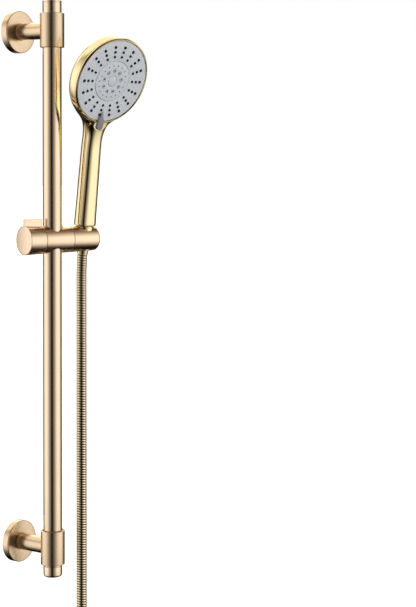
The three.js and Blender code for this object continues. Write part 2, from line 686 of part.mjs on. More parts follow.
// ---- hose ---------------------------------------------------------------------------------
function addHoseTop(joint) {
  const hole = 8.7;
  const cavity = 10.5;
  const shelf = 1.7;
  const nut = turned([
    [hole, CONE_BOTTOM], [CONE_BOTTOM_RADIUS, CONE_BOTTOM], [CONE_TOP_RADIUS, CONE_TOP],
    [cavity, CONE_TOP], [cavity, shelf], [hole, shelf], [hole, CONE_BOTTOM],
  ], 24);
  add(joint, 'cone_nut', nut, POLISHED_GOLD);

  const bore = 5;
  const ferrule = turned([
    [bore, HOSE_EXIT], [8.4, HOSE_EXIT], [8.4, shelf + GAP], [9.8, shelf + GAP],
    [9.8, 4], [bore, 4], [bore, HOSE_EXIT],
  ], 24);
  add(joint, 'hose_ferrule', ferrule, BRASS);
  add(joint, 'hose_washer', sleeve(6, 10, 4 + GAP, 6 + GAP, 20), BLACK_RUBBER);
}

function hoseTube(path, steps) {
  const section = new THREE.Shape();
  section.absarc(0, 0, HOSE_RADIUS, 0, 2 * Math.PI, false);
  const settings = { steps, extrudePath: path, bevelEnabled: false, curveSegments: 5 };
  return new THREE.ExtrudeGeometry(section, settings);
}

function tie(x0, x1, y0, y1, halfWidth, thickness) {
  return cut(
    block(x0 - thickness, x1 + thickness, y0 - thickness, y1 + thickness, -halfWidth, halfWidth),
    block(x0, x1, y0, y1, -halfWidth - 1, halfWidth + 1),
  );
}

function addHose(slider) {
  const exit = new THREE.Vector3(HANDSET_OFFSET, 0, HOSE_EXIT - GAP);
  const start = new THREE.Vector3(
    HANDSET_OFFSET, -exit.z * Math.sin(LEAN), exit.z * Math.cos(LEAN),
  );
  const inner = COIL_RADIUS - HOSE_RADIUS;
  const outer = COIL_RADIUS + HOSE_RADIUS;
  // Where the tube's inner side first touches the coil, above and below the coil's axis.
  const clear = Math.sqrt(outer ** 2 - inner ** 2) + GAP;
  const coilZ = SLIDER_DROP - COIL_DROP;

  // The first stretch is an arc that starts along the handset axis and ends vertical.
  const hangY = start.y + HOSE_BEND_LENGTH * Math.tan(LEAN / 2) * 0.98;
  const bendEnd = start.z - HOSE_BEND_LENGTH;
  const path = new THREE.CurvePath();
  const corner = new THREE.Vector3(HANDSET_OFFSET, hangY, start.z - (hangY - start.y) / Math.tan(LEAN));
  const straight = new THREE.Vector3(HANDSET_OFFSET, hangY, bendEnd);
  path.add(new THREE.QuadraticBezierCurve3(start, corner, straight));
  path.add(new THREE.LineCurve3(straight, new THREE.Vector3(HANDSET_OFFSET, hangY, coilZ + clear)));
  add(slider, 'hose_run', hoseTube(path, 18), HOSE_GOLD);

  const coil = place(slider, HANDSET_OFFSET, hangY - COIL_RADIUS, coilZ);
  const width = COIL_TURNS * COIL_PITCH;
  const ring = sleeve(inner, outer, -HOSE_RADIUS, width + HOSE_RADIUS, 40);
  add(coil, 'hose_coil', alongX(ring), HOSE_GOLD);
  const slack = 0.8;
  const strap = tie(-HOSE_RADIUS - slack, width + HOSE_RADIUS + slack, -outer - slack, -inner + slack, 5, 1.6);
  add(coil, 'hose_tie', strap, BLACK_RUBBER);

  const tail = place(slider, HANDSET_OFFSET + width, hangY, coilZ);
  const tailTop = new THREE.Vector3(0, 0, -clear);
  const tailEnd = new THREE.Vector3(0, 0, -TAIL_LENGTH);
  add(tail, 'hose_tail', hoseTube(new THREE.LineCurve3(tailTop, tailEnd), 2), HOSE_GOLD);
  addHoseEnd(tail);
}

// The loose end: crimp ferrule, coupling nut and washer. The nut's socket opens downwards.
function addHoseEnd(tail) {
  const top = -TAIL_LENGTH - GAP;
  const bore = 5;
  const shelf = top - 12;
  const ferrule = turned([
    [bore, shelf - 4], [9.8, shelf - 4], [9.8, shelf - GAP], [8.4, shelf - GAP],
    [8.4, top], [bore, top], [bore, shelf - 4],
  ], 24);
  add(tail, 'end_ferrule', ferrule, BRASS);

  const hole = 8.7;
  const cavity = 10.5;
  const nutBottom = shelf - 14;
  const across = 24 / Math.cos(Math.PI / 6) / 2;
  const hexagon = turned([[0, nutBottom + 3], [across, nutBottom + 3], [across, shelf - 2], [0, shelf - 2]], 6);
  const nut = cut(
    join(rod(12, nutBottom, shelf + 3, 30), hexagon),
    rod(hole, nutBottom - 1, shelf + 4, 24),
    rod(cavity, nutBottom - 1, shelf, 24),
  );
  add(tail, 'end_nut', nut, POLISHED_GOLD);
  add(tail, 'end_washer', sleeve(6, 10, shelf - 6 - GAP, shelf - 4 - GAP, 20), BLACK_RUBBER);
}

// ---- assembly -----------------------------------------------------------------------------
const shower = new THREE.Group();
addRail(shower);
addBracket(shower, 'upper', 0);
addBracket(shower, 'lower', BRACKET_SPACING);

const slider = place(shower, 0, -RAIL_STANDOFF, -SLIDER_DROP, [0, 0, SWIVEL]);
addClamp(slider);
addBrake(slider);
addKnob(slider);
addHolder(slider);
addHose(slider);

const handset = place(slider, HANDSET_OFFSET, 0, 0, [LEAN, 0, HANDSET_YAW]);
addHoseTop(handset);
addShell(handset);
addWaterway(handset);
addFixedHead(handset);
addTurningHead(handset);

export default shower;
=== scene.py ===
# A wall-mounted shower slide rail with its hand shower and hose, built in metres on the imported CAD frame.
import json
import math

import bmesh
import bpy
import numpy as np
from mathutils import Matrix, Vector


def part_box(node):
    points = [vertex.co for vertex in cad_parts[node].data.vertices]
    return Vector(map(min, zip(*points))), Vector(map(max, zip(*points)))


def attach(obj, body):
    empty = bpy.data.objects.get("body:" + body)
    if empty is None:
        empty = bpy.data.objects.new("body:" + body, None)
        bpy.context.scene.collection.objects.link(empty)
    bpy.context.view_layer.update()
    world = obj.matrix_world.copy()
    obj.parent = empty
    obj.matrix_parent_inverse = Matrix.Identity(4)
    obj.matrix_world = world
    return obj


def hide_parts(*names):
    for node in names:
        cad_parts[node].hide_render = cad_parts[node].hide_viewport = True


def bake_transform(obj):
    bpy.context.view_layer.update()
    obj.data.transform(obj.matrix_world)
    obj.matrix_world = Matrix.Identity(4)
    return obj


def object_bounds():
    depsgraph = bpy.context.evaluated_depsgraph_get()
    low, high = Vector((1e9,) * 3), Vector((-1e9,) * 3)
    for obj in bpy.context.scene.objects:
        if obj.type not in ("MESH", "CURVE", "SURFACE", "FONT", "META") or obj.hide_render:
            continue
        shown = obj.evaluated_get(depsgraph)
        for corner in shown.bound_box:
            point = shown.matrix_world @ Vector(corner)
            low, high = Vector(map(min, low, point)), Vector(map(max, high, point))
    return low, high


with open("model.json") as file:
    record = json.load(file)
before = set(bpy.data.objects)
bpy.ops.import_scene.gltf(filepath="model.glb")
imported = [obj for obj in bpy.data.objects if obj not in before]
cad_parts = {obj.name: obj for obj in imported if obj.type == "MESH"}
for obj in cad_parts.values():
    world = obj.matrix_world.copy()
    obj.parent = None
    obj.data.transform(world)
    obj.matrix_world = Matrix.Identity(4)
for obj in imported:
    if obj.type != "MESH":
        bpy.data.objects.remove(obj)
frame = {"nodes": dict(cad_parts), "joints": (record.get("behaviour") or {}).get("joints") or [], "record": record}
cad_bounds = [list(corner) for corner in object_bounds()]

MM = 0.001
joints = {joint["name"]: joint for joint in frame["joints"]}


# ---- places taken from the frame -------------------------------------------------------------
def centre(node):
    low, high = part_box(node)
    return (low + high) / 2


def frame_at(origin, z_axis, x_hint):
    """A matrix whose Z is z_axis and whose X is as near x_hint as it can be."""
    z = Vector(z_axis).normalized()
    x = (Vector(x_hint) - z * Vector(x_hint).dot(z)).normalized()
    y = z.cross(x)
    matrix = Matrix((x, y, z)).transposed().to_4x4()
    matrix.translation = Vector(origin)
    return matrix


BARREL_AXIS = Vector(joints["holder_tilt"]["axis"]).normalized()
BARREL_ORIGIN = Vector(joints["holder_tilt"]["pos_m"])
HANDLE_AXIS = Vector(joints["handset_turn"]["axis"]).normalized()
HANDLE_ORIGIN = Vector(joints["handset_turn"]["pos_m"])
FACE_AXIS = Vector(joints["selector_turn"]["axis"]).normalized()
FACE_CENTRE = Vector(joints["selector_turn"]["pos_m"])
RAIL_CENTRE = centre("rail_tube")

BARREL_HEADING = math.atan2(BARREL_AXIS.y, BARREL_AXIS.x)
# How far the handle leans from upright, and the level direction from the barrel into the room.
LEAN = HANDLE_AXIS.angle(Vector((0, 0, 1)))
INTO_ROOM = BARREL_AXIS.cross(Vector((0, 0, 1)))

# Barrel frame: local Z runs along the barrel from knob to holder, local X is up.
BARREL = frame_at(BARREL_ORIGIN, BARREL_AXIS, (0, 0, 1))
# Slider frame: local X along the barrel, local Z up.
SLIDER = frame_at(BARREL_ORIGIN, (0, 0, 1), BARREL_AXIS)
# Face frame: local Z out of the spray face, local Y up the face, away from the handle.
FACE = frame_at(FACE_CENTRE, FACE_AXIS, HANDLE_AXIS.cross(FACE_AXIS))
# Handset frame: local Z up the handle, local Y away from the side that sprays.
HANDSET = frame_at(HANDLE_ORIGIN, HANDLE_AXIS, HANDLE_AXIS.cross(FACE_AXIS))
# Handle frame: the handset frame turned about the handle, with local X nearest to the barrel.
HANDLE = frame_at(HANDLE_ORIGIN, HANDLE_AXIS, BARREL_AXIS)


# ---- camera ----------------------------------------------------------------------------------
CAMERA_PLACE = (-1.597, -1.4826, -0.159)
CAMERA_AZIMUTH = math.radians(53.92)
CAMERA_PITCH = math.radians(-2.36)
CAMERA_ROLL = math.radians(0.145)
CAMERA_LENS = 95.7
CAMERA_SHIFT_UP = -0.14


def add_camera():
    data = bpy.data.cameras.new("camera")
    data.sensor_width = 36
    data.lens = CAMERA_LENS
    data.shift_y = CAMERA_SHIFT_UP
    data.clip_end = 50
    camera = bpy.data.objects.new("camera", data)
    bpy.context.collection.objects.link(camera)
    forward = Vector((
        math.sin(CAMERA_AZIMUTH) * math.cos(CAMERA_PITCH),
        math.cos(CAMERA_AZIMUTH) * math.cos(CAMERA_PITCH),
        math.sin(CAMERA_PITCH),
    ))
    right = forward.cross(Vector((0, 0, 1))).normalized()
    up = right.cross(forward)
    turned_right = right * math.cos(CAMERA_ROLL) + up * math.sin(CAMERA_ROLL)
    turned_up = up * math.cos(CAMERA_ROLL) - right * math.sin(CAMERA_ROLL)
    matrix = Matrix((turned_right, turned_up, -forward)).transposed().to_4x4()
    matrix.translation = Vector(CAMERA_PLACE)
    camera.matrix_world = matrix
    bpy.context.scene.camera = camera


# ---- node material helpers -------------------------------------------------------------------
class Nodes:
    """Short names for the node calls that the materials below make."""

    def __init__(self, tree):
        self.tree = tree
        tree.nodes.clear()

    def add(self, kind, **settings):
        node = self.tree.nodes.new(kind)
        for name, value in settings.items():
            setattr(node, name, value)
        return node

    def link(self, source, target):
        self.tree.links.new(source, target)

    def math(self, operation, *values):
        node = self.add("ShaderNodeMath", operation=operation)
        for socket, value in zip(node.inputs, values):
            if isinstance(value, (int, float)):
                socket.default_value = value
            else:
                self.link(value, socket)
        return node.outputs[0]

    def ramp(self, factor, stops):
        node = self.add("ShaderNodeValToRGB")
        elements = node.color_ramp.elements
        while len(elements) < len(stops):
            elements.new(0.5)
        for element, (place, colour) in zip(elements, stops):
            element.position = place
            element.color = (*colour, 1)
        self.link(factor, node.inputs[0])
        return node.outputs[0]

    def noise(self, vector, scale, detail=3, roughness=0.5):
        node = self.add("ShaderNodeTexNoise")
        node.inputs["Scale"].default_value = scale
        node.inputs["Detail"].default_value = detail
        node.inputs["Roughness"].default_value = roughness
        self.link(vector, node.inputs["Vector"])
        return node.outputs[0]

    def stretched(self, scale, rotation=(0, 0, 0)):
        """Object coordinates turned to the grain's direction, then scaled to cells per metre."""
        place = self.add("ShaderNodeTexCoord")
        mapping = self.add("ShaderNodeMapping", vector_type="TEXTURE")
        mapping.inputs["Scale"].default_value = [1 / value for value in scale]
        mapping.inputs["Rotation"].default_value = rotation
        self.link(place.outputs["Object"], mapping.inputs["Vector"])
        return mapping.outputs[0]

    def bump(self, height, strength, distance):
        node = self.add("ShaderNodeBump")
        node.inputs["Strength"].default_value = strength
        node.inputs["Distance"].default_value = distance
        self.link(height, node.inputs["Height"])
        return node.outputs[0]

    def mixed(self, way, a, b):
        """Two colours combined in full; sockets 6 and 7 are the Mix node's colour inputs."""
        node = self.add("ShaderNodeMix", data_type="RGBA", blend_type=way)
        node.inputs[0].default_value = 1.0
        self.link(a, node.inputs[6])
        self.link(b, node.inputs[7])
        return node.outputs[2]

    def closeness(self, direction, target):
        """The cosine of the angle between a direction socket and a fixed direction."""
        node = self.add("ShaderNodeVectorMath", operation="DOT_PRODUCT")
        self.link(direction, node.inputs[0])
        node.inputs[1].default_value = target
        return node.outputs["Value"]

    def shader_choice(self, factor, first, second):
        """The first shader where the factor is 0, the second where it is 1."""
        node = self.add("ShaderNodeMixShader")
        self.link(factor, node.inputs[0])
        self.link(first, node.inputs[1])
        self.link(second, node.inputs[2])
        return node.outputs[0]


def surface(name, metallic=0.0, roughness=0.5):
    """A new material with a Principled shader, and its Nodes helper and shader."""
    material = bpy.data.materials.new(name)
    material.use_nodes = True
    nodes = Nodes(material.node_tree)
    shader = nodes.add("ShaderNodeBsdfPrincipled")
    output = nodes.add("ShaderNodeOutputMaterial")
    nodes.link(shader.outputs[0], output.inputs[0])
    shader.inputs["Metallic"].default_value = metallic
    shader.inputs["Roughness"].default_value = roughness
    return material, nodes, shader


def vary_gloss(nodes, shader, factor, roughness, spread):
    """Roughness that follows a noise of 0 to 1, by spread in all, about its middle value."""
    gloss = nodes.math("MULTIPLY_ADD", factor, spread, roughness - spread / 2)
    nodes.link(gloss, shader.inputs["Roughness"])


def shades(colour, low, high):
    return [(0.25, [c * low for c in colour]), (0.75, [c * high for c in colour])]


def brushed_metal(name, colour, roughness, grain_scale, rotation=(0, 0, 0)):
    """A coated metal with fine brush lines, a slight cloudiness and small changes of gloss."""
    material, nodes, shader = surface(name, metallic=1.0, roughness=roughness)
    lines = nodes.noise(nodes.stretched(grain_scale, rotation), 1.0, 4, 0.6)
    clouds = nodes.noise(nodes.stretched((14, 14, 14)), 1.0, 2)
    nodes.link(nodes.ramp(clouds, shades(colour, 0.95, 1.04)), shader.inputs["Base Color"])
    vary_gloss(nodes, shader, lines, roughness, 0.10)
    nodes.link(nodes.bump(lines, 0.10, 0.0002), shader.inputs["Normal"])
    return material


def polished_metal(name, colour, roughness):
    """A plated, polished skin with a faint waviness and a trace of wiped-on water film."""
    material, nodes, shader = surface(name, metallic=1.0, roughness=roughness)
    film = nodes.noise(nodes.stretched((30, 30, 12)), 1.0, 4)
    nodes.link(nodes.ramp(film, shades(colour, 0.96, 1.03)), shader.inputs["Base Color"])
    vary_gloss(nodes, shader, film, roughness, 0.08)
    waves = nodes.noise(nodes.stretched((60, 60, 25)), 1.0, 1)
    nodes.link(nodes.bump(waves, 0.04, 0.001), shader.inputs["Normal"])
    return material


def ribbed_metal(name, colour, roughness):
    """Plated metal whose wound ribs are bright on their crowns and painted a dull brown shade down in the grooves.
    """
    material, nodes, shader = surface(name, metallic=1.0, roughness=roughness)
    film = nodes.noise(nodes.stretched((40, 40, 40)), 1.0, 4)
    crown = nodes.ramp(film, shades(colour, 0.96, 1.03))
    groove = nodes.add("ShaderNodeAttribute", attribute_name="groove")
    # Painted shade: the colour darkens towards brown the deeper a vertex lies in a groove.
    painted_groove_shade = nodes.ramp(groove.outputs["Fac"], [(0.10, (1, 1, 1)), (0.48, (0.12, 0.09, 0.05))])
    nodes.link(nodes.mixed("MULTIPLY", crown, painted_groove_shade), shader.inputs["Base Color"])
    vary_gloss(nodes, shader, film, roughness, 0.08)
    return material


def moulded(name, colour, roughness, grain, strength):
    """Plastic or rubber with a fine spark-eroded grain and slightly uneven colour."""
    material, nodes, shader = surface(name, roughness=roughness)
    grains = nodes.noise(nodes.stretched((grain, grain, grain)), 1.0, 5, 0.7)
    nodes.link(nodes.ramp(grains, shades(colour, 0.93, 1.06)), shader.inputs["Base Color"])
    nodes.link(nodes.bump(grains, strength, 0.0003), shader.inputs["Normal"])
    vary_gloss(nodes, shader, grains, roughness, 0.12)
    return material


# Grain scales are in noise cells per metre, so the largest number is across the brush lines.
MATERIALS = {
    "rail_gold": brushed_metal("rail_gold", (0.93, 0.74, 0.54), 0.18, (1400, 1400, 14)),
    "bracket_gold": brushed_metal("bracket_gold", (0.82, 0.635, 0.435), 0.24, (1600, 110, 1600)),
    "slider_gold": brushed_metal(
        "slider_gold", (0.96, 0.75, 0.54), 0.24, (2000, 50, 50), (0, 0, BARREL_HEADING),
    ),
    "polished_gold": polished_metal("polished_gold", (0.97, 0.82, 0.50), 0.10),
    "hose_gold": ribbed_metal("hose_gold", (0.99, 0.86, 0.60), 0.18),
    "face_grey": moulded("face_grey", (0.55, 0.58, 0.62), 0.42, 2600, 0.30),
    "tab_grey": moulded("tab_grey", (0.20, 0.195, 0.21), 0.40, 2200, 0.25),
    "white_plastic": moulded("white_plastic", (0.74, 0.74, 0.70), 0.45, 1500, 0.15),
    "blue_plastic": moulded("blue_plastic", (0.10, 0.26, 0.48), 0.4, 1500, 0.15),
    "black_rubber": moulded("black_rubber", (0.006, 0.006, 0.007), 0.6, 1800, 0.3),
    "steel": brushed_metal("steel", (0.56, 0.56, 0.57), 0.28, (800, 800, 80)),
    "bare_brass": brushed_metal("bare_brass", (0.72, 0.50, 0.22), 0.3, (800, 800, 80)),
}


# ---- mesh helpers ----------------------------------------------------------------------------
def to_object(name, mesh, slot):
    piece = bpy.data.objects.new(name, mesh)
    bpy.context.collection.objects.link(piece)
    mesh.materials.clear()
    mesh.materials.append(MATERIALS[slot])
    return piece


def mesh_of(name, vertices, faces):
    mesh = bpy.data.meshes.new(name)
    mesh.from_pydata([tuple(v) for v in vertices], [], faces)
    return mesh


def smooth(piece, angle=35):
    """Smooth shading that keeps edges sharper than the angle."""
    mesh = piece.data
    work = bmesh.new()
    work.from_mesh(mesh)
    bmesh.ops.recalc_face_normals(work, faces=work.faces)
    limit = math.radians(angle)
    for face in work.faces:
        face.smooth = True
    for edge in work.edges:
        edge.smooth = len(edge.link_faces) == 2 and edge.calc_face_angle(0) < limit
    work.to_mesh(mesh)
    work.free()
    return piece


def rounded(profile, steps=4):
    """A profile of (radius, height, fillet) corners with each fillet drawn as an arc."""
    points = []
    count = len(profile)
    for i, (r, z, fillet) in enumerate(profile):
        corner = Vector((r, z))
        before = Vector(profile[i - 1][:2]) - corner
        after = Vector(profile[(i + 1) % count][:2]) - corner
        if fillet <= 0 or before.length < 1e-9 or after.length < 1e-9:
            points.append(corner)
            continue
        half = before.angle(after) / 2
        reach = min(fillet / math.tan(half), before.length * 0.49, after.length * 0.49)
        start = corner + before.normalized() * reach
        end = corner + after.normalized() * reach
        for step in range(steps + 1):
            t = step / steps
            points.append(start * (1 - t) ** 2 + corner * 2 * t * (1 - t) + end * t ** 2)
    return points


def lathe(name, profile, matrix, slot, sides=96):
    """A solid turned about the matrix's Z from (radius, height, fillet) corners in millimetres."""
    points = rounded(profile)
    vertices, faces, rings = [], [], []
    for point in points:
        if abs(point.x) < 1e-6:
            rings.append([len(vertices)])
            vertices.append(Vector((0, 0, point.y)) * MM)
            continue
        rings.append(list(range(len(vertices), len(vertices) + sides)))
        for i in range(sides):
            turn = 2 * math.pi * i / sides
            vertices.append(Vector((point.x * math.cos(turn), point.x * math.sin(turn), point.y)) * MM)
    pairs = list(zip(rings, rings[1:]))
    if len(rings[0]) > 1:
        pairs.append((rings[-1], rings[0]))
    for low, high in pairs:
        for i in range(sides):
            j = (i + 1) % sides
            loop = []
            for index in (low[i % len(low)], low[j % len(low)], high[j % len(high)], high[i % len(high)]):
                if index not in loop:
                    loop.append(index)
            if len(loop) > 2:
                faces.append(loop)
    return smooth(to_object(name, mesh_of(name, [matrix @ v for v in vertices], faces), slot))


def disc(radius, low, high, edge=0.0, top_radius=None):
    """The corners of a plain round bar, with a fillet at both rims."""
    top = radius if top_radius is None else top_radius
    return [(0, low, 0), (radius, low, edge), (top, high, edge), (0, high, 0)]


def hoop(inner, outer, low, high, edge=0.0):
    """The corners of a plain ring."""
    return [(inner, low, edge), (outer, low, edge), (outer, high, edge), (inner, high, edge)]


def rectangle(left, bottom, right, top):
    return [(left, bottom), (right, bottom), (right, top), (left, top)]


def hex_outline(across):
    reach = across / 2 / math.cos(math.pi / 6)
    return [(reach * math.cos(k * math.pi / 3), reach * math.sin(k * math.pi / 3)) for k in range(6)]


def prism(name, outline, low, high, matrix, slot, edge=0.0, steps=3):
    """An outline of (x, y) millimetres raised along the matrix's Z, with rounded edges."""
    count = len(outline)
    vertices = [Vector((x, y, z)) * MM for z in (low, high) for x, y in outline]
    faces = [list(range(count))[::-1], list(range(count, 2 * count))]
    faces += [[i, (i + 1) % count, (i + 1) % count + count, i + count] for i in range(count)]
    piece = to_object(name, mesh_of(name, vertices, faces), slot)
    if edge:
        soften(piece, edge, steps)
    piece.data.transform(matrix)
    return smooth(piece)


def apply_modifiers(piece):
    bpy.context.view_layer.update()
    evaluated = piece.evaluated_get(bpy.context.evaluated_depsgraph_get())
    mesh = bpy.data.meshes.new_from_object(evaluated)
    piece.modifiers.clear()
    piece.data = mesh
    return piece


def soften(piece, width, steps=3):
    bevel = piece.modifiers.new("bevel", "BEVEL")
    bevel.width = width * MM
    bevel.segments = steps
    bevel.limit_method = "ANGLE"
    return apply_modifiers(piece)


def carve(piece, *tools, join=False):
    """Cuts the tools from the piece, or joins them to it, and removes them."""
    for tool in tools:
        boolean = piece.modifiers.new("carve", "BOOLEAN")
        boolean.operation = "UNION" if join else "DIFFERENCE"
        boolean.solver = "EXACT"
        boolean.object = tool
        apply_modifiers(piece)
        bpy.data.objects.remove(tool)
    return smooth(piece)


def merge(name, pieces, slot):
    """Several pieces as one object."""
    vertices, faces = [], []
    for piece in pieces:
        start = len(vertices)
        vertices += [v.co.copy() for v in piece.data.vertices]
        faces += [[start + i for i in polygon.vertices] for polygon in piece.data.polygons]
        bpy.data.objects.remove(piece)
    return smooth(to_object(name, mesh_of(name, vertices, faces), slot))


def stand_for(piece, body, *nodes):
    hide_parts(*nodes)
    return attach(piece, body)


# ---- hose ------------------------------------------------------------------------------------
HOSE_DIAMETER = 0.014
RIB_PITCH = 0.0034
RIB_DEPTH = 0.0011
RIB_STEPS = 7
COIL_RADIUS = 0.0707
COIL_TURNS = 2
COIL_PITCH = 0.0143
TAIL_LENGTH = 0.072
BEND_LENGTH = 0.035
# The bend moves the hose aside by this share of what a round bend of its length would.
BEND_SHARE = 0.98
BEND_STEPS, DROP_STEPS, TURN_STEPS, TAIL_STEPS = 6, 16, 40, 5


def hose_bend(exit_point):
    """The short curve from the leaning ferrule to straight down."""
    aside = BEND_LENGTH * math.tan(LEAN / 2) * BEND_SHARE
    hang = exit_point - INTO_ROOM * aside
    corner = hang - Vector((0, 0, aside / math.tan(LEAN)))
    end = hang - Vector((0, 0, BEND_LENGTH))
    points = []
    for step in range(BEND_STEPS + 1):
        t = step / BEND_STEPS
        points.append(exit_point * (1 - t) ** 2 + corner * 2 * t * (1 - t) + end * t ** 2)
    return points


def hanging(start, length, count):
    """Points straight down from a start that isn't repeated."""
    return [start - Vector((0, 0, length * step / count)) for step in range(1, count + 1)]


def hose_coil(start):
    """The coil's turns in an upright plane, each one a pitch further along the barrel's axis."""
    middle = start + INTO_ROOM * COIL_RADIUS
    steps = TURN_STEPS * COIL_TURNS
    points = []
    for step in range(1, steps + 1):
        turn = 2 * math.pi * COIL_TURNS * step / steps
        points.append(
            middle - INTO_ROOM * COIL_RADIUS * math.cos(turn)
            - Vector((0, 0, COIL_RADIUS * math.sin(turn)))
            + BARREL_AXIS * COIL_PITCH * COIL_TURNS * step / steps
        )
    return points


def hose_route():
    """The hose's centreline: off the ferrule, down, through the coil's turns and down to the nut."""
    points = hose_bend(Vector(joints["hose_bend"]["pos_m"]))
    points += hanging(points[-1], points[-1].z - centre("hose_coil").z, DROP_STEPS)
    points += hose_coil(points[-1])
    return points + hanging(points[-1], TAIL_LENGTH, TAIL_STEPS)


def resampled(points, spacing):
    """Points at an even spacing along a smooth curve through the given ones, and its length."""
    p = np.array([tuple(v) for v in points])
    steps = 12
    padded = np.vstack([2 * p[0] - p[1], p, 2 * p[-1] - p[-2]])
    fine = []
    for i in range(1, len(padded) - 2):
        a, b, c, d = padded[i - 1:i + 3]
        for t in np.arange(steps) / steps:
            fine.append(0.5 * (2 * b + (c - a) * t + (2 * a - 5 * b + 4 * c - d) * t * t
                               + (3 * b - a - 3 * c + d) * t ** 3))
    fine = np.array([*fine, p[-1]])
    along = np.concatenate([[0], np.cumsum(np.linalg.norm(np.diff(fine, axis=0), axis=1))])
    count = int(round(along[-1] / spacing))
    stations = np.linspace(0, along[-1], count + 1)
    return np.array([np.interp(stations, along, fine[:, k]) for k in range(3)]).T, along[-1]


def hose_mesh(line, spacing, sides=24):
    """A tube whose skin is one wound rib that climbs a pitch in each turn, with its depth stored."""
    tangents = np.gradient(line, axis=0)
    tangents /= np.linalg.norm(tangents, axis=1)[:, None]
    side = np.array(tuple(BARREL_AXIS))
    across = side - tangents * (tangents @ side)[:, None]
    across /= np.linalg.norm(across, axis=1)[:, None]
    other = np.cross(tangents, across)
    turns = 2 * np.pi * np.arange(sides) / sides
    stations = np.arange(len(line)) * spacing
    along_rib = (stations[:, None] / RIB_PITCH + turns[None] / (2 * np.pi)) % 1
    bulge = np.sqrt(np.maximum(0, 1 - (2 * along_rib - 1) ** 2))
    radius = HOSE_DIAMETER / 2 - RIB_DEPTH * (1 - bulge)
    cosines, sines = np.cos(turns)[None, :, None], np.sin(turns)[None, :, None]
    ring = across[:, None] * cosines + other[:, None] * sines
    vertices = (line[:, None] + ring * radius[..., None]).reshape(-1, 3)
    faces = []
    for i in range(len(line) - 1):
        for j in range(sides):
            k = (j + 1) % sides
            faces.append((i * sides + j, i * sides + k, (i + 1) * sides + k, (i + 1) * sides + j))
    faces.append(tuple(range(sides))[::-1])
    faces.append(tuple((len(line) - 1) * sides + j for j in range(sides)))
    mesh = mesh_of("hose", vertices, faces)
    # The groove depth is stored for the hose material, which paints shade into the grooves by it.
    depth = mesh.attributes.new("groove", "FLOAT", "POINT")
    depth.data.foreach_set("value", (1 - bulge).astype(np.float32).ravel())
    return mesh


def stadium(reach, radius, count=12):
    """A closed outline of two half circles about (-reach, 0) and (reach, 0)."""
    points = []
    for side in (1, -1):
        for a in np.linspace(-math.pi / 2, math.pi / 2, count):
            points.append((side * (reach + radius * math.cos(a)), side * radius * math.sin(a)))
    return points


def add_tie(middle):
    """A strap round both turns on the side away from the tail, its end lapped over."""
    place = frame_at(middle, (0, 0, 1), BARREL_AXIS)
    half = HOSE_DIAMETER / MM / 2
    reach = COIL_PITCH / MM / 2
    strap = prism("strap", stadium(reach, half + 1.7), -5, 5, place, "black_rubber", 0.4, 2)
    carve(strap, prism("inside", stadium(reach, half + 0.2), -6, 6, place, "black_rubber"))
    flap = [(-6, half + 1.5), (7, half + 1.5), (7.5, half + 2.9), (-6, half + 2.9)]
    carve(strap, prism("flap", flap, -4.2, 4.2, place, "black_rubber", 0.5, 2), join=True)
    strap.name = "hose_tie_skin"
    return stand_for(strap, "hose", "hose_tie")


def add_hose_end():
    """The crimped ferrule and the hexagon coupling nut, measured up from the nut's lower face."""
    at = joints["end_nut_turn"]["pos_m"]
    place = Matrix.Translation((at[0], at[1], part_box("end_nut")[0].z))
    nut = lathe("nut", disc(12, 0, 17, 0.8), place, "polished_gold")
    carve(nut, prism("hexagon", hex_outline(24), 3, 12, place, "polished_gold", 0.6), join=True)
    ridges = [hoop(10, 10.9, z, z + 0.9) for z in (1.4, 3.2, 5.0)]
    threads = [lathe("thread", ridge, place, "polished_gold", 64) for ridge in ridges]
    carve(
        nut,
        lathe("hole", disc(8.7, -1, 18), place, "polished_gold", 64),
        lathe("socket", disc(10.5, -1, 14), place, "polished_gold", 64),
        *threads,
    )
    nut.name = "end_nut_skin"
    stand_for(nut, "hose_end", "end_nut")
    profile = [(5, 10, 0), (9.8, 10, 0.2), (9.8, 13.7, 0.2), (8.4, 13.7, 0),
               (8.4, 20, 0.4), (7.9, 21, 0.2), (7.9, 26, 0.6), (5, 26, 0.2)]
    ferrule = lathe("end_ferrule_skin", profile, place, "polished_gold", 64)
    return [nut, stand_for(ferrule, "hose", "end_ferrule"), frame["nodes"]["end_washer"]]


def add_hose():
    spacing = RIB_PITCH / RIB_STEPS
    line, length = resampled(hose_route(), spacing)
    hose = to_object("hose", hose_mesh(line, length / (len(line) - 1)), "hose_gold")
    smooth(hose, 80)
    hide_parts("hose_run", "hose_coil", "hose_tail")
    tail_to_strap = INTO_ROOM * COIL_RADIUS * 2 - BARREL_AXIS * COIL_PITCH * (COIL_TURNS - 1)
    strap_middle = Vector(line[-1]) + tail_to_strap
    strap_middle.z = centre("hose_coil").z
    on_hose = [add_tie(strap_middle), *add_hose_end()]
    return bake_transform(hose)


# ---- rail and brackets -----------------------------------------------------------------------
RAIL_WALL = 1.5
# The caps' plugs are this much smaller than the tube's bore, and leave this much gap at its ends.
PLUG_GAP = 0.3
PLUG_LENGTH = 10
COLLAR_HALF, COLLAR_RADIUS, ARM_RADIUS = 22.5, 16, 11
ROSETTE_RADIUS = 28
# The set screws come in from below, this far from the wall; the wall screws sit each side of the boss.
SET_SCREW_FROM_WALL = 17
WALL_SCREW_ASIDE = 16


def node_frame(node):
    """A frame with Z up at a node's own axis, with its height measured from the row's origin."""
    middle = centre(node)
    return Matrix.Translation((middle.x, middle.y, 0))


def heights(node):
    low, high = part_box(node)
    return low.z / MM, high.z / MM


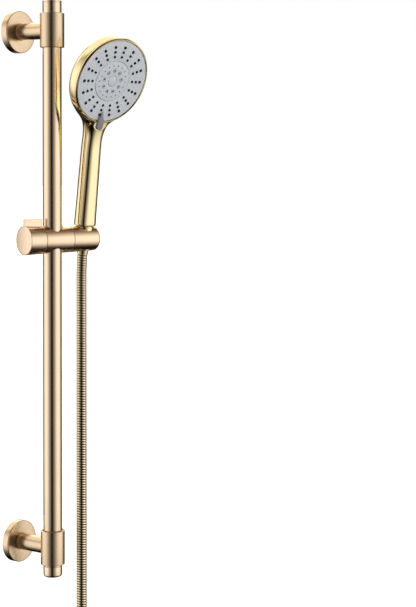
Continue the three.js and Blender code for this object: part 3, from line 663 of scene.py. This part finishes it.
def add_rail():
    place = node_frame("rail_tube")
    low, high = heights("rail_tube")
    corner, far_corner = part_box("rail_tube")
    radius = (far_corner.x - corner.x) / 2 / MM
    bore = radius - RAIL_WALL
    plug = bore - PLUG_GAP
    tube = lathe("rail_tube_skin", hoop(bore, radius, low, high, 0.25), place, "rail_gold")
    stand_for(tube, "frame", "rail_tube")
    top = heights("rail_top_cap")[1]
    cap = [(0, high - PLUG_LENGTH, 0), (plug, high - PLUG_LENGTH, 0), (plug, high + PLUG_GAP, 0),
           (radius, high + PLUG_GAP, 0.2), (radius, top, 0.8), (0, top, 0)]
    stand_for(lathe("rail_top_cap_skin", cap, place, "rail_gold"), "frame", "rail_top_cap")
    bottom = heights("rail_bottom_cap")[0]
    foot = [(0, bottom, 0), (radius, bottom, 3.4), (radius, low - PLUG_GAP, 0.3),
            (plug, low - PLUG_GAP, 0), (plug, low + PLUG_LENGTH, 0), (0, low + PLUG_LENGTH, 0)]
    stand_for(lathe("rail_bottom_cap_skin", foot, place, "rail_gold"), "frame", "rail_bottom_cap")


def add_bracket(prefix):
    middle = centre(f"{prefix}_wall_plate")
    # Local Z points from the wall into the room, local X along the wall.
    place = frame_at((middle.x, 0, middle.z), (0, -1, 0), (1, 0, 0))
    rail = Matrix.Translation((RAIL_CENTRE.x, RAIL_CENTRE.y, middle.z))
    standoff = -RAIL_CENTRE.y / MM
    inside = ROSETTE_RADIUS - 2
    outline = [(11.3, 10, 0.3), (ROSETTE_RADIUS, 10, 1.4), (ROSETTE_RADIUS, 0.02, 0),
               (inside, 0.02, 0), (inside, 8, 0), (11.3, 8, 0)]
    rosette = lathe(f"{prefix}_rosette_skin", outline, place, "bracket_gold", 128)
    stand_for(rosette, "frame", f"{prefix}_rosette")

    outline = disc(COLLAR_RADIUS, -COLLAR_HALF, COLLAR_HALF, 0.7)
    collar = lathe("collar", outline, rail, "bracket_gold")
    carve(collar, lathe("arm", disc(ARM_RADIUS, 5.3, standoff), place, "bracket_gold"), join=True)
    bore = lathe("bore", disc(14.3, -COLLAR_HALF - 1, COLLAR_HALF + 1), rail, "bracket_gold")
    socket = lathe("socket", disc(8.3, 0, 26), place, "bracket_gold", 64)
    screw_hole = lathe("screw_hole", disc(2.3, -13, 0), set_screw_frame(middle), "bracket_gold", 32)
    carve(collar, bore, socket, screw_hole)
    collar.name = f"{prefix}_post_skin"
    stand_for(collar, "frame", f"{prefix}_post")

    bush = lathe(f"{prefix}_bush_skin", hoop(12.7, 14.1, -21.5, 21.5, 0.3), rail, "white_plastic")
    stand_for(bush, "frame", f"{prefix}_bush")
    add_set_screw(prefix, middle)
    add_wall_fixing(prefix, place)


def set_screw_frame(middle):
    return Matrix.Translation((middle.x, -SET_SCREW_FROM_WALL * MM, middle.z))


def add_set_screw(prefix, middle):
    place = set_screw_frame(middle)
    screw = lathe("screw", disc(2, -10.5, -6.5, 0.2), place, "steel", 32)
    carve(screw, prism("hexagon", hex_outline(2), -11, -8.6, place, "steel"))
    screw.name = f"{prefix}_set_screw_skin"
    stand_for(screw, "frame", f"{prefix}_set_screw")


def add_wall_fixing(prefix, place):
    plate = lathe("plate", disc(23, 0.02, 5, 0.4), place, "steel")
    carve(plate, lathe("boss", disc(8, 4, 24, 0.5), place, "steel", 64), join=True)
    stepped = [(0, -1, 0), (2.3, -1, 0), (2.3, 2.5, 0), (4.5, 2.5, 0), (4.5, 6, 0), (0, 6, 0)]
    spots = {
        "left": place @ Matrix.Translation((-WALL_SCREW_ASIDE * MM, 0, 0)),
        "right": place @ Matrix.Translation((WALL_SCREW_ASIDE * MM, 0, 0)),
    }
    carve(plate, *[lathe("hole", stepped, spot, "steel", 32) for spot in spots.values()])
    plate.name = f"{prefix}_wall_plate_skin"
    stand_for(plate, "frame", f"{prefix}_wall_plate")
    head = [(0, 0.3, 0), (2, 0.3, 0.2), (2, 2.8, 0), (4.2, 2.9, 0.2), (4.2, 4.9, 0.8), (0, 4.9, 0)]
    for side, spot in spots.items():
        screw = lathe("screw", head, spot, "steel", 40)
        arms = [rectangle(-2.4, -0.5, 2.4, 0.5), rectangle(-0.5, -2.4, 0.5, 2.4)]
        carve(screw, *[prism("slot", arm, 3.4, 6, spot, "steel") for arm in arms])
        screw.name = f"{prefix}_wall_screw_{side}_skin"
        stand_for(screw, "frame", f"{prefix}_wall_screw_{side}")


# ---- slider ----------------------------------------------------------------------------------
# Stations along the barrel, and the 0.3 mm that its turning ends stand off from the clamp between them.
KNOB_END, KNOB_SEAM, HOLDER_SEAM, HOLDER_END = -44, -19, 24, 67
HANDSET_STATION = 50
SEAM_GAP = 0.3
TAB_HALF = 1.9


def add_slider_body():
    body = lathe("body", disc(18.25, KNOB_SEAM, HOLDER_SEAM, 0.5, 17.75), BARREL, "slider_gold", 128)
    carve(body, lathe("boss", disc(12.7, -32, KNOB_SEAM + 2, 0.4), BARREL, "slider_gold", 64), join=True)
    carve(
        body,
        lathe("rail_bore", disc(14.3, -22, 22), SLIDER, "slider_gold"),
        lathe("shoe_bore", disc(8.3, -33, -20), BARREL, "slider_gold", 48),
        lathe("nose_bore", disc(6.3, -21, 0), BARREL, "slider_gold", 48),
        lathe("bolt_bore", disc(3.3, 0, 25), BARREL, "slider_gold", 32),
        lathe("clip_groove", hoop(11.2, 14, -30.2, -28.6), BARREL, "slider_gold", 64),
    )
    body.name = "slider_body_skin"
    stand_for(body, "slider", "slider_body")
    liner = lathe("slider_liner_skin", hoop(12.7, 14.1, -10.8, 10.8, 0.3), SLIDER, "white_plastic")
    stand_for(liner, "carriage", "slider_liner")


def add_knob():
    end, seam = KNOB_END, KNOB_SEAM - SEAM_GAP
    knob = lathe("knob", disc(19.25, end, seam, 0.7, 18.3), BARREL, "slider_gold", 128)
    tab_outline = rectangle(16, -TAB_HALF, 28, TAB_HALF)
    tab = prism("tab", tab_outline, end, -17, BARREL, "slider_gold", 0.5)
    # The tab reaches over the clamp, so its underside is cut clear of it.
    carve(tab, prism("overhang", rectangle(10, -3, 18.45, 3), seam, -16, BARREL, "slider_gold"))
    carve(knob, tab, join=True)
    carve(
        knob,
        lathe("boss_space", disc(13, -33, -18), BARREL, "slider_gold", 64),
        lathe("screw_space", disc(2.3, -37, -32), BARREL, "slider_gold", 32),
        lathe("head_space", disc(6, end - 1, -36), BARREL, "slider_gold", 48),
        lathe("cap_seat", disc(18.6, end - 1, end + 2.1), BARREL, "slider_gold", 128),
    )
    knob.name = "lever_knob_skin"
    stand_for(knob, "lever", "lever_knob")
    cap = lathe("knob_cap_skin", disc(18.35, end + 0.05, end + 1.8, 0.35), BARREL, "slider_gold", 128)
    stand_for(cap, "lever", "knob_cap")


def add_holder():
    face = HOLDER_SEAM + SEAM_GAP
    outline = [(0, face, 0), (17.75, face, 0.5), (16.5, HOLDER_END, 4.4), (0, HOLDER_END, 0)]
    holder = lathe("holder_shell", outline, BARREL, "slider_gold", 128)
    carve(
        holder,
        lathe("cone_bore", disc(10.0, -25, 25, 0, 12.83), HANDLE, "slider_gold"),
        lathe("bolt_bore", disc(3.3, 20, 34), BARREL, "slider_gold", 32),
        lathe("head_bore", disc(5.8, 33, HANDSET_STATION), BARREL, "slider_gold", 48),
        lathe("washer_seat", disc(12.3, 20, 25.9), BARREL, "slider_gold", 64),
    )
    holder.name = "holder_skin"
    stand_for(holder, "holder", "holder")


def add_hose_top():
    nut = [(8.7, -15.2, 0.3), (10.1, -15.2, 0.5), (12, 17.5, 0.6),
           (10.5, 17.5, 0.3), (10.5, 1.7, 0), (8.7, 1.7, 0)]
    stand_for(lathe("cone_nut_skin", nut, HANDLE, "polished_gold"), "hose_top", "cone_nut")
    ferrule = [(5, -20, 0.2), (7.5, -20, 0.4), (7.9, -16, 0.3), (8.4, -14, 0.2), (8.4, 2, 0), (9.8, 2, 0),
               (9.8, 4, 0.2), (5, 4, 0.2)]
    skin = lathe("hose_ferrule_skin", ferrule, HANDLE, "polished_gold", 64)
    stand_for(skin, "hose_top", "hose_ferrule")


# ---- handset shell ---------------------------------------------------------------------------
HEAD_RADIUS = 58.7
# The head's back is part of a sphere whose top is this far behind the face.
DOME_RADIUS, DOME_TOP = 290.0, -24.4
HANDLE_BOTTOM, NECK_START = 18, 128
BOTTOM_HALF_WIDTH, NECK_HALF_WIDTH, BOTTOM_HALF_DEPTH = 14.75, 12.9, 13.5
# The power of the handle's cross-section: 2 is an ellipse, and more is squarer.
SQUARENESS = 2.15
# The face's centre ahead of the handle's axis and along it, and the face's tilt.
FORWARD = -(HANDSET.inverted() @ FACE_CENTRE).y / MM
ALONG = (HANDSET.inverted() @ FACE_CENTRE).z / MM
PITCH = math.asin(max(-1, min(1, -FACE_AXIS.dot(HANDLE_AXIS))))


def smoothstep(low, high, value):
    t = np.clip((value - low) / (high - low), 0, 1)
    return t * t * (3 - 2 * t)


def smooth_union(a, b, reach):
    """The smaller of two distances, rounded where they are within reach of each other."""
    mix = np.maximum(reach - np.abs(a - b), 0) / reach
    return np.minimum(a, b) - mix ** 3 * reach / 6


def smooth_cut(a, b, reach):
    return -smooth_union(-a, -b, reach)


def head_distance(p):
    """Distance to the round head, in millimetres, for points in the handset frame."""
    face_point = np.array([0, -FORWARD, ALONG])
    normal = np.array([0, -math.cos(PITCH), -math.sin(PITCH)])
    q = p - face_point
    depth = q @ normal
    radius = np.linalg.norm(q - depth[:, None] * normal, axis=1)
    back = np.sqrt(radius ** 2 + (depth - (DOME_TOP + DOME_RADIUS)) ** 2) - DOME_RADIUS
    side = radius - HEAD_RADIUS
    body = smooth_cut(side, back, 9.0)
    return np.maximum(body, depth - 2.0)


def handle_taper(station):
    return np.clip((station - HANDLE_BOTTOM) / (NECK_START - HANDLE_BOTTOM), 0, 1)


def handle_half_depth(station):
    return BOTTOM_HALF_DEPTH - handle_taper(station)


def handle_front(station):
    """The handle's front: upright below the neck, then in line with the spray face."""
    deep = handle_half_depth(station)
    plane = -FORWARD - (station - ALONG) * math.tan(PITCH) + 0.5
    return np.where(station > NECK_START - 20, smooth_union(-deep, plane, 6.0), -deep)


def handle_distance(p):
    """Distance to the handle and its neck."""
    station = p[:, 2]
    narrowing = (NECK_HALF_WIDTH - BOTTOM_HALF_WIDTH) * handle_taper(station)
    half = BOTTOM_HALF_WIDTH + narrowing + 12.0 * smoothstep(132, 176, station) ** 1.3
    deep = handle_half_depth(station)
    front = handle_front(station)
    back = deep - (deep + 7) * smoothstep(124, 226, station)
    middle, depth = (front + back) / 2, (back - front) / 2
    x, y = p[:, 0] / half, (p[:, 1] - middle) / depth
    ring = (np.abs(x) ** SQUARENESS + np.abs(y) ** SQUARENESS + 1e-9) ** (1 / SQUARENESS)
    body = (ring - 1) * np.minimum(half, depth)
    body = smooth_cut(body, HANDLE_BOTTOM - station, 2.2)
    return smooth_cut(body, station - 206, 14.0)


def shell_distance(p):
    """Distance to the whole shell: head and handle joined, and cut level with the handle's front."""
    whole = smooth_union(head_distance(p), handle_distance(p), 15.0)
    ahead = (handle_front(p[:, 2]) - p[:, 1]) * math.cos(PITCH)
    return smooth_cut(whole, ahead, 5.0)


def settle(vertices, distance, rounds=12):
    """Moves points onto the zero of a distance function."""
    p = vertices.copy()
    h = 0.02
    for _ in range(rounds):
        value = distance(p)
        slope = np.stack([distance(p + h * e) - distance(p - h * e) for e in np.eye(3)], 1) / (2 * h)
        size = np.maximum((slope ** 2).sum(1), 0.05)
        p -= 0.9 * slope * (value / size)[:, None]
    return p


def settle_piece(piece, place, distance):
    """Moves a piece's vertices onto a distance function that is written in the place's frame."""
    there, back = np.array(place.inverted()), np.array(place)
    points = np.array([tuple(v.co) for v in piece.data.vertices])
    local = settle((points @ there[:3, :3].T + there[:3, 3]) / MM, distance)
    points = (local * MM) @ back[:3, :3].T + back[:3, 3]
    piece.data.vertices.foreach_set("co", points.astype(np.float32).ravel())
    piece.data.update()


def rough_handle():
    """A coarse closed tube about the size of the handle, widening and thinning into the head."""
    sides, neck = 32, 130
    vertices = []
    stations = (17, 60, neck, 160, 185, 206)
    for station in stations:
        beyond = max(0, station - neck)
        front = -FORWARD - (station - ALONG) * math.tan(PITCH) if beyond else -BOTTOM_HALF_DEPTH
        back = BOTTOM_HALF_DEPTH - 22 * beyond / (stations[-1] - neck)
        half = 24 if beyond else 15
        for t in np.linspace(0, 2 * math.pi, sides, endpoint=False):
            depth = (front + back) / 2 + (back - front) / 2 * math.sin(t)
            vertices.append(Vector((half * math.cos(t), depth, station)) * MM)
    faces = []
    for start in range(0, len(vertices) - sides, sides):
        for j in range(sides):
            k = (j + 1) % sides
            faces.append([start + j, start + k, start + sides + k, start + sides + j])
    faces += [list(range(sides))[::-1], list(range(len(vertices) - sides, len(vertices)))]
    handle = to_object("rough_handle", mesh_of("rough_handle", vertices, faces), "polished_gold")
    handle.data.transform(HANDSET)
    return smooth(handle)


def add_handset_shell():
    """The handle and head as one skin: a rough form remeshed, settled on the true form and hollowed."""
    head = lathe("rough_head", disc(HEAD_RADIUS + 1, -25, 3), FACE, "polished_gold", 64)
    shell = merge("handset_shell_skin", [head, rough_handle()], "polished_gold")
    remesh = shell.modifiers.new("remesh", "REMESH")
    remesh.mode = "VOXEL"
    remesh.voxel_size = 0.0016
    apply_modifiers(shell)
    settle_piece(shell, HANDSET, shell_distance)
    recess = FACE @ Matrix.Translation((0, -HEAD_RADIUS * MM, 0))
    for space in (
        lathe("face_space", disc(HEAD_RADIUS + 0.3, -3.3, 20), FACE, "polished_gold", 160),
        lathe("thumb_recess", disc(12, -3.3, 20, 1.0), recess, "polished_gold", 64),
        lathe("head_space", disc(56, -14, 1), FACE, "polished_gold", 160),
        lathe("inlet", disc(10.5, 10, 31), HANDSET, "polished_gold", 64),
    ):
        carve(shell, space)
    smooth(shell, 30)
    stand_for(shell, "handset", "handset_shell")


# ---- spray head ------------------------------------------------------------------------------
# Radius and nozzle size of each ring of rubber nozzles.
NOZZLE_ROWS = ((47.1, 1.9), (40.5, 1.7), (33.9, 1.6))
NOZZLES_IN_ROW = 18


def on_circle(radius, count, phase):
    """Evenly spaced places round the face, each with its local X pointing outwards."""
    for k in range(count):
        turn = phase + 2 * math.pi * k / count
        yield FACE @ Matrix.Rotation(turn, 4, "Z") @ Matrix.Translation((radius * MM, 0, 0))


def add_bezel():
    ring = [(56, -3, 0.2), (HEAD_RADIUS, -3, 0.2), (HEAD_RADIUS, -1.0, 0.3), (57.0, 1.2, 0.25),
            (56.55, 1.2, 0.2), (56.0, 0.1, 0.2)]
    stand_for(lathe("bezel_ring_skin", ring, FACE, "polished_gold", 160), "handset", "bezel_ring")


def add_face_plate():
    plate = [(27.9, -4.8, 0), (55.6, -4.8, 0), (55.6, 0, 0.9), (27.9, 0, 0.5)]
    stand_for(lathe("face_plate_skin", plate, FACE, "face_grey", 160), "spray_face", "face_plate")
    middle = [(0, -7.1, 0), (27.5, -7.1, 0), (27.5, 0.3, 0.5),
              (7.4, 0.3, 0.25), (7.4, -1.2, 0), (0, -1.2, 0)]
    jets = lathe("jet_disc_skin", middle, FACE, "face_grey", 128)
    stand_for(jets, "spray_face", "jet_disc")
    cap = [(0, -1.15, 0), (7.0, -1.15, 0), (7.0, 0.35, 0.4), (4.0, 0.85, 2.0), (0, 0.95, 0)]
    stand_for(lathe("face_cap_skin", cap, FACE, "face_grey", 64), "spray_face", "face_cap")


def add_nozzles():
    """Each rubber nozzle is a collar, a tapered tip and a small outlet, all on one mat."""
    rubber = []
    # The handle's line falls midway between two nozzles.
    phase = math.pi / NOZZLES_IN_ROW - math.pi / 2
    for radius, size in NOZZLE_ROWS:
        collar = size + 0.2
        profile = [(0, -0.6, 0), (collar, -0.6, 0), (collar, 0.3, 0.2), (size * 0.92, 0.4, 0.1),
                   (size * 0.8, 1.35, 0.3), (0.5, 1.35, 0.1), (0.4, 0.7, 0), (0, 0.7, 0)]
        for place in on_circle(radius, NOZZLES_IN_ROW, phase):
            rubber.append(lathe("nozzle", profile, place, "black_rubber", 20))
    rubber.append(lathe("mat", hoop(30, 51, -7.1, -5.1), FACE, "black_rubber"))
    stand_for(merge("nozzle_mat_skin", rubber, "black_rubber"), "spray_face", "nozzle_mat")


def add_fine_jets():
    """Small pits with raised rims: eighteen round ones and nine hooded ones, each pit filled with a dark disc of
    painted shade and each hood ringed with a thin dark ring of painted shadow.
    """
    rims, painted_shade_marks = [], []
    rim_profile = [(0.75, 0.1, 0), (1.3, 0.1, 0), (1.15, 0.6, 0.15), (0.8, 0.6, 0.1)]
    for place in on_circle(21.5, 18, 0):
        rims.append(lathe("rim", rim_profile, place, "face_grey", 16))
        # A dark disc inside each rim is painted shade for the pit's depth.
        painted_shade_marks.append(lathe("pit", disc(0.85, 0.2, 0.38), place, "black_rubber", 12))
    for place in on_circle(14.5, 9, math.pi / 18):
        rims.append(hood(place))
        # A dark disc inside each hood is painted shade for the pit's depth.
        painted_shade_marks.append(lathe("pit", disc(1.1, 0.2, 0.42), place, "black_rubber", 16))
        # A thin dark ring just outside each hood is a painted shadow round its lip.
        painted_shade_marks.append(lathe("painted_shadow_ring", hoop(2.35, 2.75, 0.2, 0.36), place, "black_rubber", 24))
    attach(merge("jet_rims", rims, "face_grey"), "spray_face")
    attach(merge("jet_painted_shade", painted_shade_marks, "black_rubber"), "spray_face")


def hood(place):
    """Nearly three quarters of a round lip, open away from the face's centre."""
    outer, inner = 2.35, 1.55
    angles = np.linspace(math.radians(50), math.radians(310), 15)
    outline = [(outer * math.cos(a), outer * math.sin(a)) for a in angles]
    outline += [(inner * math.cos(a), inner * math.sin(a)) for a in angles[::-1]]
    return prism("hood", outline, 0.1, 0.85, place, "face_grey", 0.18, 2)


def add_selector_tab():
    """A finger tab: a wedge that rises from its tip on the face to its rounded end past the rim."""
    place = FACE @ Matrix.Rotation(math.radians(-7), 4, "Z")
    half, tip, shoulder, end = 4.5, -39.5, -55, -62.3
    underside, tip_thickness, full_thickness = 1.8, 0.8, 5.0
    arc = [(half * math.cos(a), end + half * math.sin(a)) for a in np.linspace(0, -math.pi, 17)]
    # Each widening is a share of the way from tip to shoulder, and of the full width there.
    widening = [(0.16, 0.10), (0.45, 0.36), (0.75, 0.72), (1, 1)]
    right = [(half * width, tip + (shoulder - tip) * way) for way, width in widening]
    outline = [(0, tip), *right, *arc, *[(-x, y) for x, y in right[::-1]]]
    tab = prism("tab", outline[::-1], 0, 1, Matrix(), "tab_grey")
    for vertex in tab.data.vertices:
        rise = smoothstep(-tip, -end, -vertex.co.y / MM)
        thickness = tip_thickness + (full_thickness - tip_thickness) * rise
        vertex.co.z = (underside + thickness * vertex.co.z / MM) * MM
    soften(tab, 0.7, 4)
    tab.data.transform(place)
    foot = rectangle(-1.8, -54.6, 1.8, -51.5)
    carve(tab, prism("foot", foot, 0.1, 2.4, place, "tab_grey"), join=True)
    tab.name = "selector_tab_skin"
    stand_for(tab, "spray_face", "selector_tab")


# ---- everything else keeps its CAD mesh and gets its material ---------------------------------
def finish_cad_nodes():
    slots = {part["node"]: part["material_slot"] for part in frame["record"]["subparts"]}
    for name, node in frame["nodes"].items():
        node.data.materials.clear()
        node.data.materials.append(MATERIALS[slots[name]])


# ---- stage -----------------------------------------------------------------------------------
FLOOR_HALF, FLOOR_DROP = 40.0, 0.25
STUDIO_STRENGTH = 1.12
DARK_HEADING = CAMERA_AZIMUTH + math.pi + math.radians(2)
FILL_STRENGTH, FILL_SPREAD = 2.3, math.radians(50)
FILL_HEADING = CAMERA_AZIMUTH - math.radians(40)
FILL_SLOPE = -0.35
# Brightness by heading, from behind the camera (0) to behind the object (1).
AROUND = [
    (0.0, (0.008, 0.007, 0.006)), (0.045, (0.015, 0.012, 0.01)), (0.11, (0.18, 0.17, 0.15)),
    (0.20, (0.42, 0.40, 0.37)), (0.31, (0.90, 0.89, 0.87)), (0.38, (1.08, 1.06, 1.04)),
    (0.58, (1.05, 1.03, 1.0)), (0.635, (0.60, 0.57, 0.52)), (0.68, (0.20, 0.18, 0.15)),
    (0.75, (0.03, 0.025, 0.02)), (0.88, (0.03, 0.025, 0.02)), (1.0, (0.35, 0.34, 0.32)),
]
# Brightness by height, from straight down (0) to straight up (1).
UPRIGHT = [
    (0.0, (0.015, 0.012, 0.01)), (0.12, (0.03, 0.027, 0.024)), (0.18, (0.24, 0.23, 0.21)),
    (0.26, (0.66, 0.65, 0.64)), (0.38, (0.97, 0.97, 0.97)), (0.62, (1, 1, 1)),
    (0.71, (0.80, 0.78, 0.75)), (0.83, (0.36, 0.31, 0.26)), (0.90, (0.17, 0.13, 0.10)),
    (1.0, (0.13, 0.10, 0.08)),
]
# A lamp above and behind the object that lights its upper rims.
BACK_AROUND = [(0.66, (0, 0, 0)), (0.80, (1, 0.98, 0.95))]
BACK_UPRIGHT = [
    (0.57, (0, 0, 0)), (0.63, (0.75, 0.72, 0.68)), (0.76, (0.75, 0.72, 0.68)), (0.86, (0, 0, 0)),
]
# A warm lamp high above the wall: brightness by closeness to its direction.
OVERHEAD_DIRECTION = (0.25, 0.60, 0.76)
OVERHEAD = [(0.74, (0, 0, 0)), (0.84, (0.85, 0.80, 0.68)), (1.0, (1.0, 0.95, 0.84))]


def add_floor():
    """A pale floor below the hose, clear from beneath and left out of the object's own light."""
    height = cad_bounds[0][2] - FLOOR_DROP
    square = rectangle(-FLOOR_HALF, -FLOOR_HALF, FLOOR_HALF, FLOOR_HALF)
    mesh = mesh_of("floor", [(x, y, height) for x, y in square], [(0, 1, 2, 3)])
    floor = bpy.data.objects.new("floor", mesh)
    bpy.context.collection.objects.link(floor)
    material, nodes, shader = surface("floor_paint", roughness=0.8)
    shader.inputs["Base Color"].default_value = (0.9, 0.9, 0.9, 1)
    shader.inputs["Emission Color"].default_value = (1, 1, 1, 1)
    shader.inputs["Emission Strength"].default_value = 0.55
    beneath = nodes.add("ShaderNodeNewGeometry").outputs["Backfacing"]
    clear = nodes.add("ShaderNodeBsdfTransparent")
    one_sided = nodes.shader_choice(beneath, shader.outputs[0], clear.outputs[0])
    output = next(node for node in material.node_tree.nodes if node.type == "OUTPUT_MATERIAL")
    nodes.link(one_sided, output.inputs[0])
    floor.data.materials.append(material)
    floor.visible_glossy = False
    floor.visible_diffuse = False


def studio_light(nodes):
    """Soft boxes left and right, dark behind the camera and below, and two lamps above."""
    direction = nodes.add("ShaderNodeTexCoord").outputs["Generated"]
    parts = nodes.add("ShaderNodeSeparateXYZ")
    nodes.link(direction, parts.inputs[0])
    level = nodes.add("ShaderNodeCombineXYZ")
    nodes.link(parts.outputs[0], level.inputs[0])
    nodes.link(parts.outputs[1], level.inputs[1])
    unit = nodes.add("ShaderNodeVectorMath", operation="NORMALIZE")
    nodes.link(level.outputs[0], unit.inputs[0])
    facing = nodes.closeness(unit.outputs[0], (math.sin(DARK_HEADING), math.cos(DARK_HEADING), 0))
    turned = nodes.math("DIVIDE", nodes.math("ARCCOSINE", facing), math.pi)
    height = nodes.math("MULTIPLY_ADD", parts.outputs[2], 0.5, 0.5)
    boxes = nodes.mixed("MULTIPLY", nodes.ramp(turned, AROUND), nodes.ramp(height, UPRIGHT))
    back = nodes.mixed("MULTIPLY", nodes.ramp(turned, BACK_AROUND), nodes.ramp(height, BACK_UPRIGHT))
    overhead = nodes.ramp(nodes.closeness(direction, OVERHEAD_DIRECTION), OVERHEAD)
    return nodes.mixed("ADD", boxes, nodes.mixed("ADD", back, overhead))


def add_world():
    """Plain white where the camera looks, and a soft studio in the light and the reflections."""
    scene = bpy.context.scene
    scene.view_settings.view_transform = "Standard"
    scene.world = bpy.data.worlds.new("studio")
    scene.world.use_nodes = True
    nodes = Nodes(scene.world.node_tree)
    studio = nodes.add("ShaderNodeBackground")
    nodes.link(studio_light(nodes), studio.inputs[0])
    studio.inputs[1].default_value = STUDIO_STRENGTH
    white = nodes.add("ShaderNodeBackground")
    white.inputs[0].default_value = (1, 1, 1, 1)
    seen = nodes.add("ShaderNodeLightPath").outputs["Is Camera Ray"]
    output = nodes.add("ShaderNodeOutputWorld")
    nodes.link(nodes.shader_choice(seen, studio.outputs[0], white.outputs[0]), output.inputs[0])


def add_fill():
    """A broad lamp from the camera's side that matt surfaces show and reflections don't."""
    data = bpy.data.lights.new("fill", "SUN")
    data.energy = FILL_STRENGTH
    data.angle = FILL_SPREAD
    lamp = bpy.data.objects.new("fill", data)
    bpy.context.collection.objects.link(lamp)
    direction = Vector((math.sin(FILL_HEADING), math.cos(FILL_HEADING), FILL_SLOPE))
    lamp.rotation_euler = direction.to_track_quat("-Z", "Y").to_euler()
    lamp.visible_glossy = False


add_camera()
add_hose()
finish_cad_nodes()
add_rail()
for bracket in ("upper", "lower"):
    add_bracket(bracket)
add_slider_body()
add_knob()
add_holder()
add_hose_top()
add_handset_shell()
add_bezel()
add_face_plate()
add_nozzles()
add_fine_jets()
add_selector_tab()
add_floor()
add_world()
add_fill()
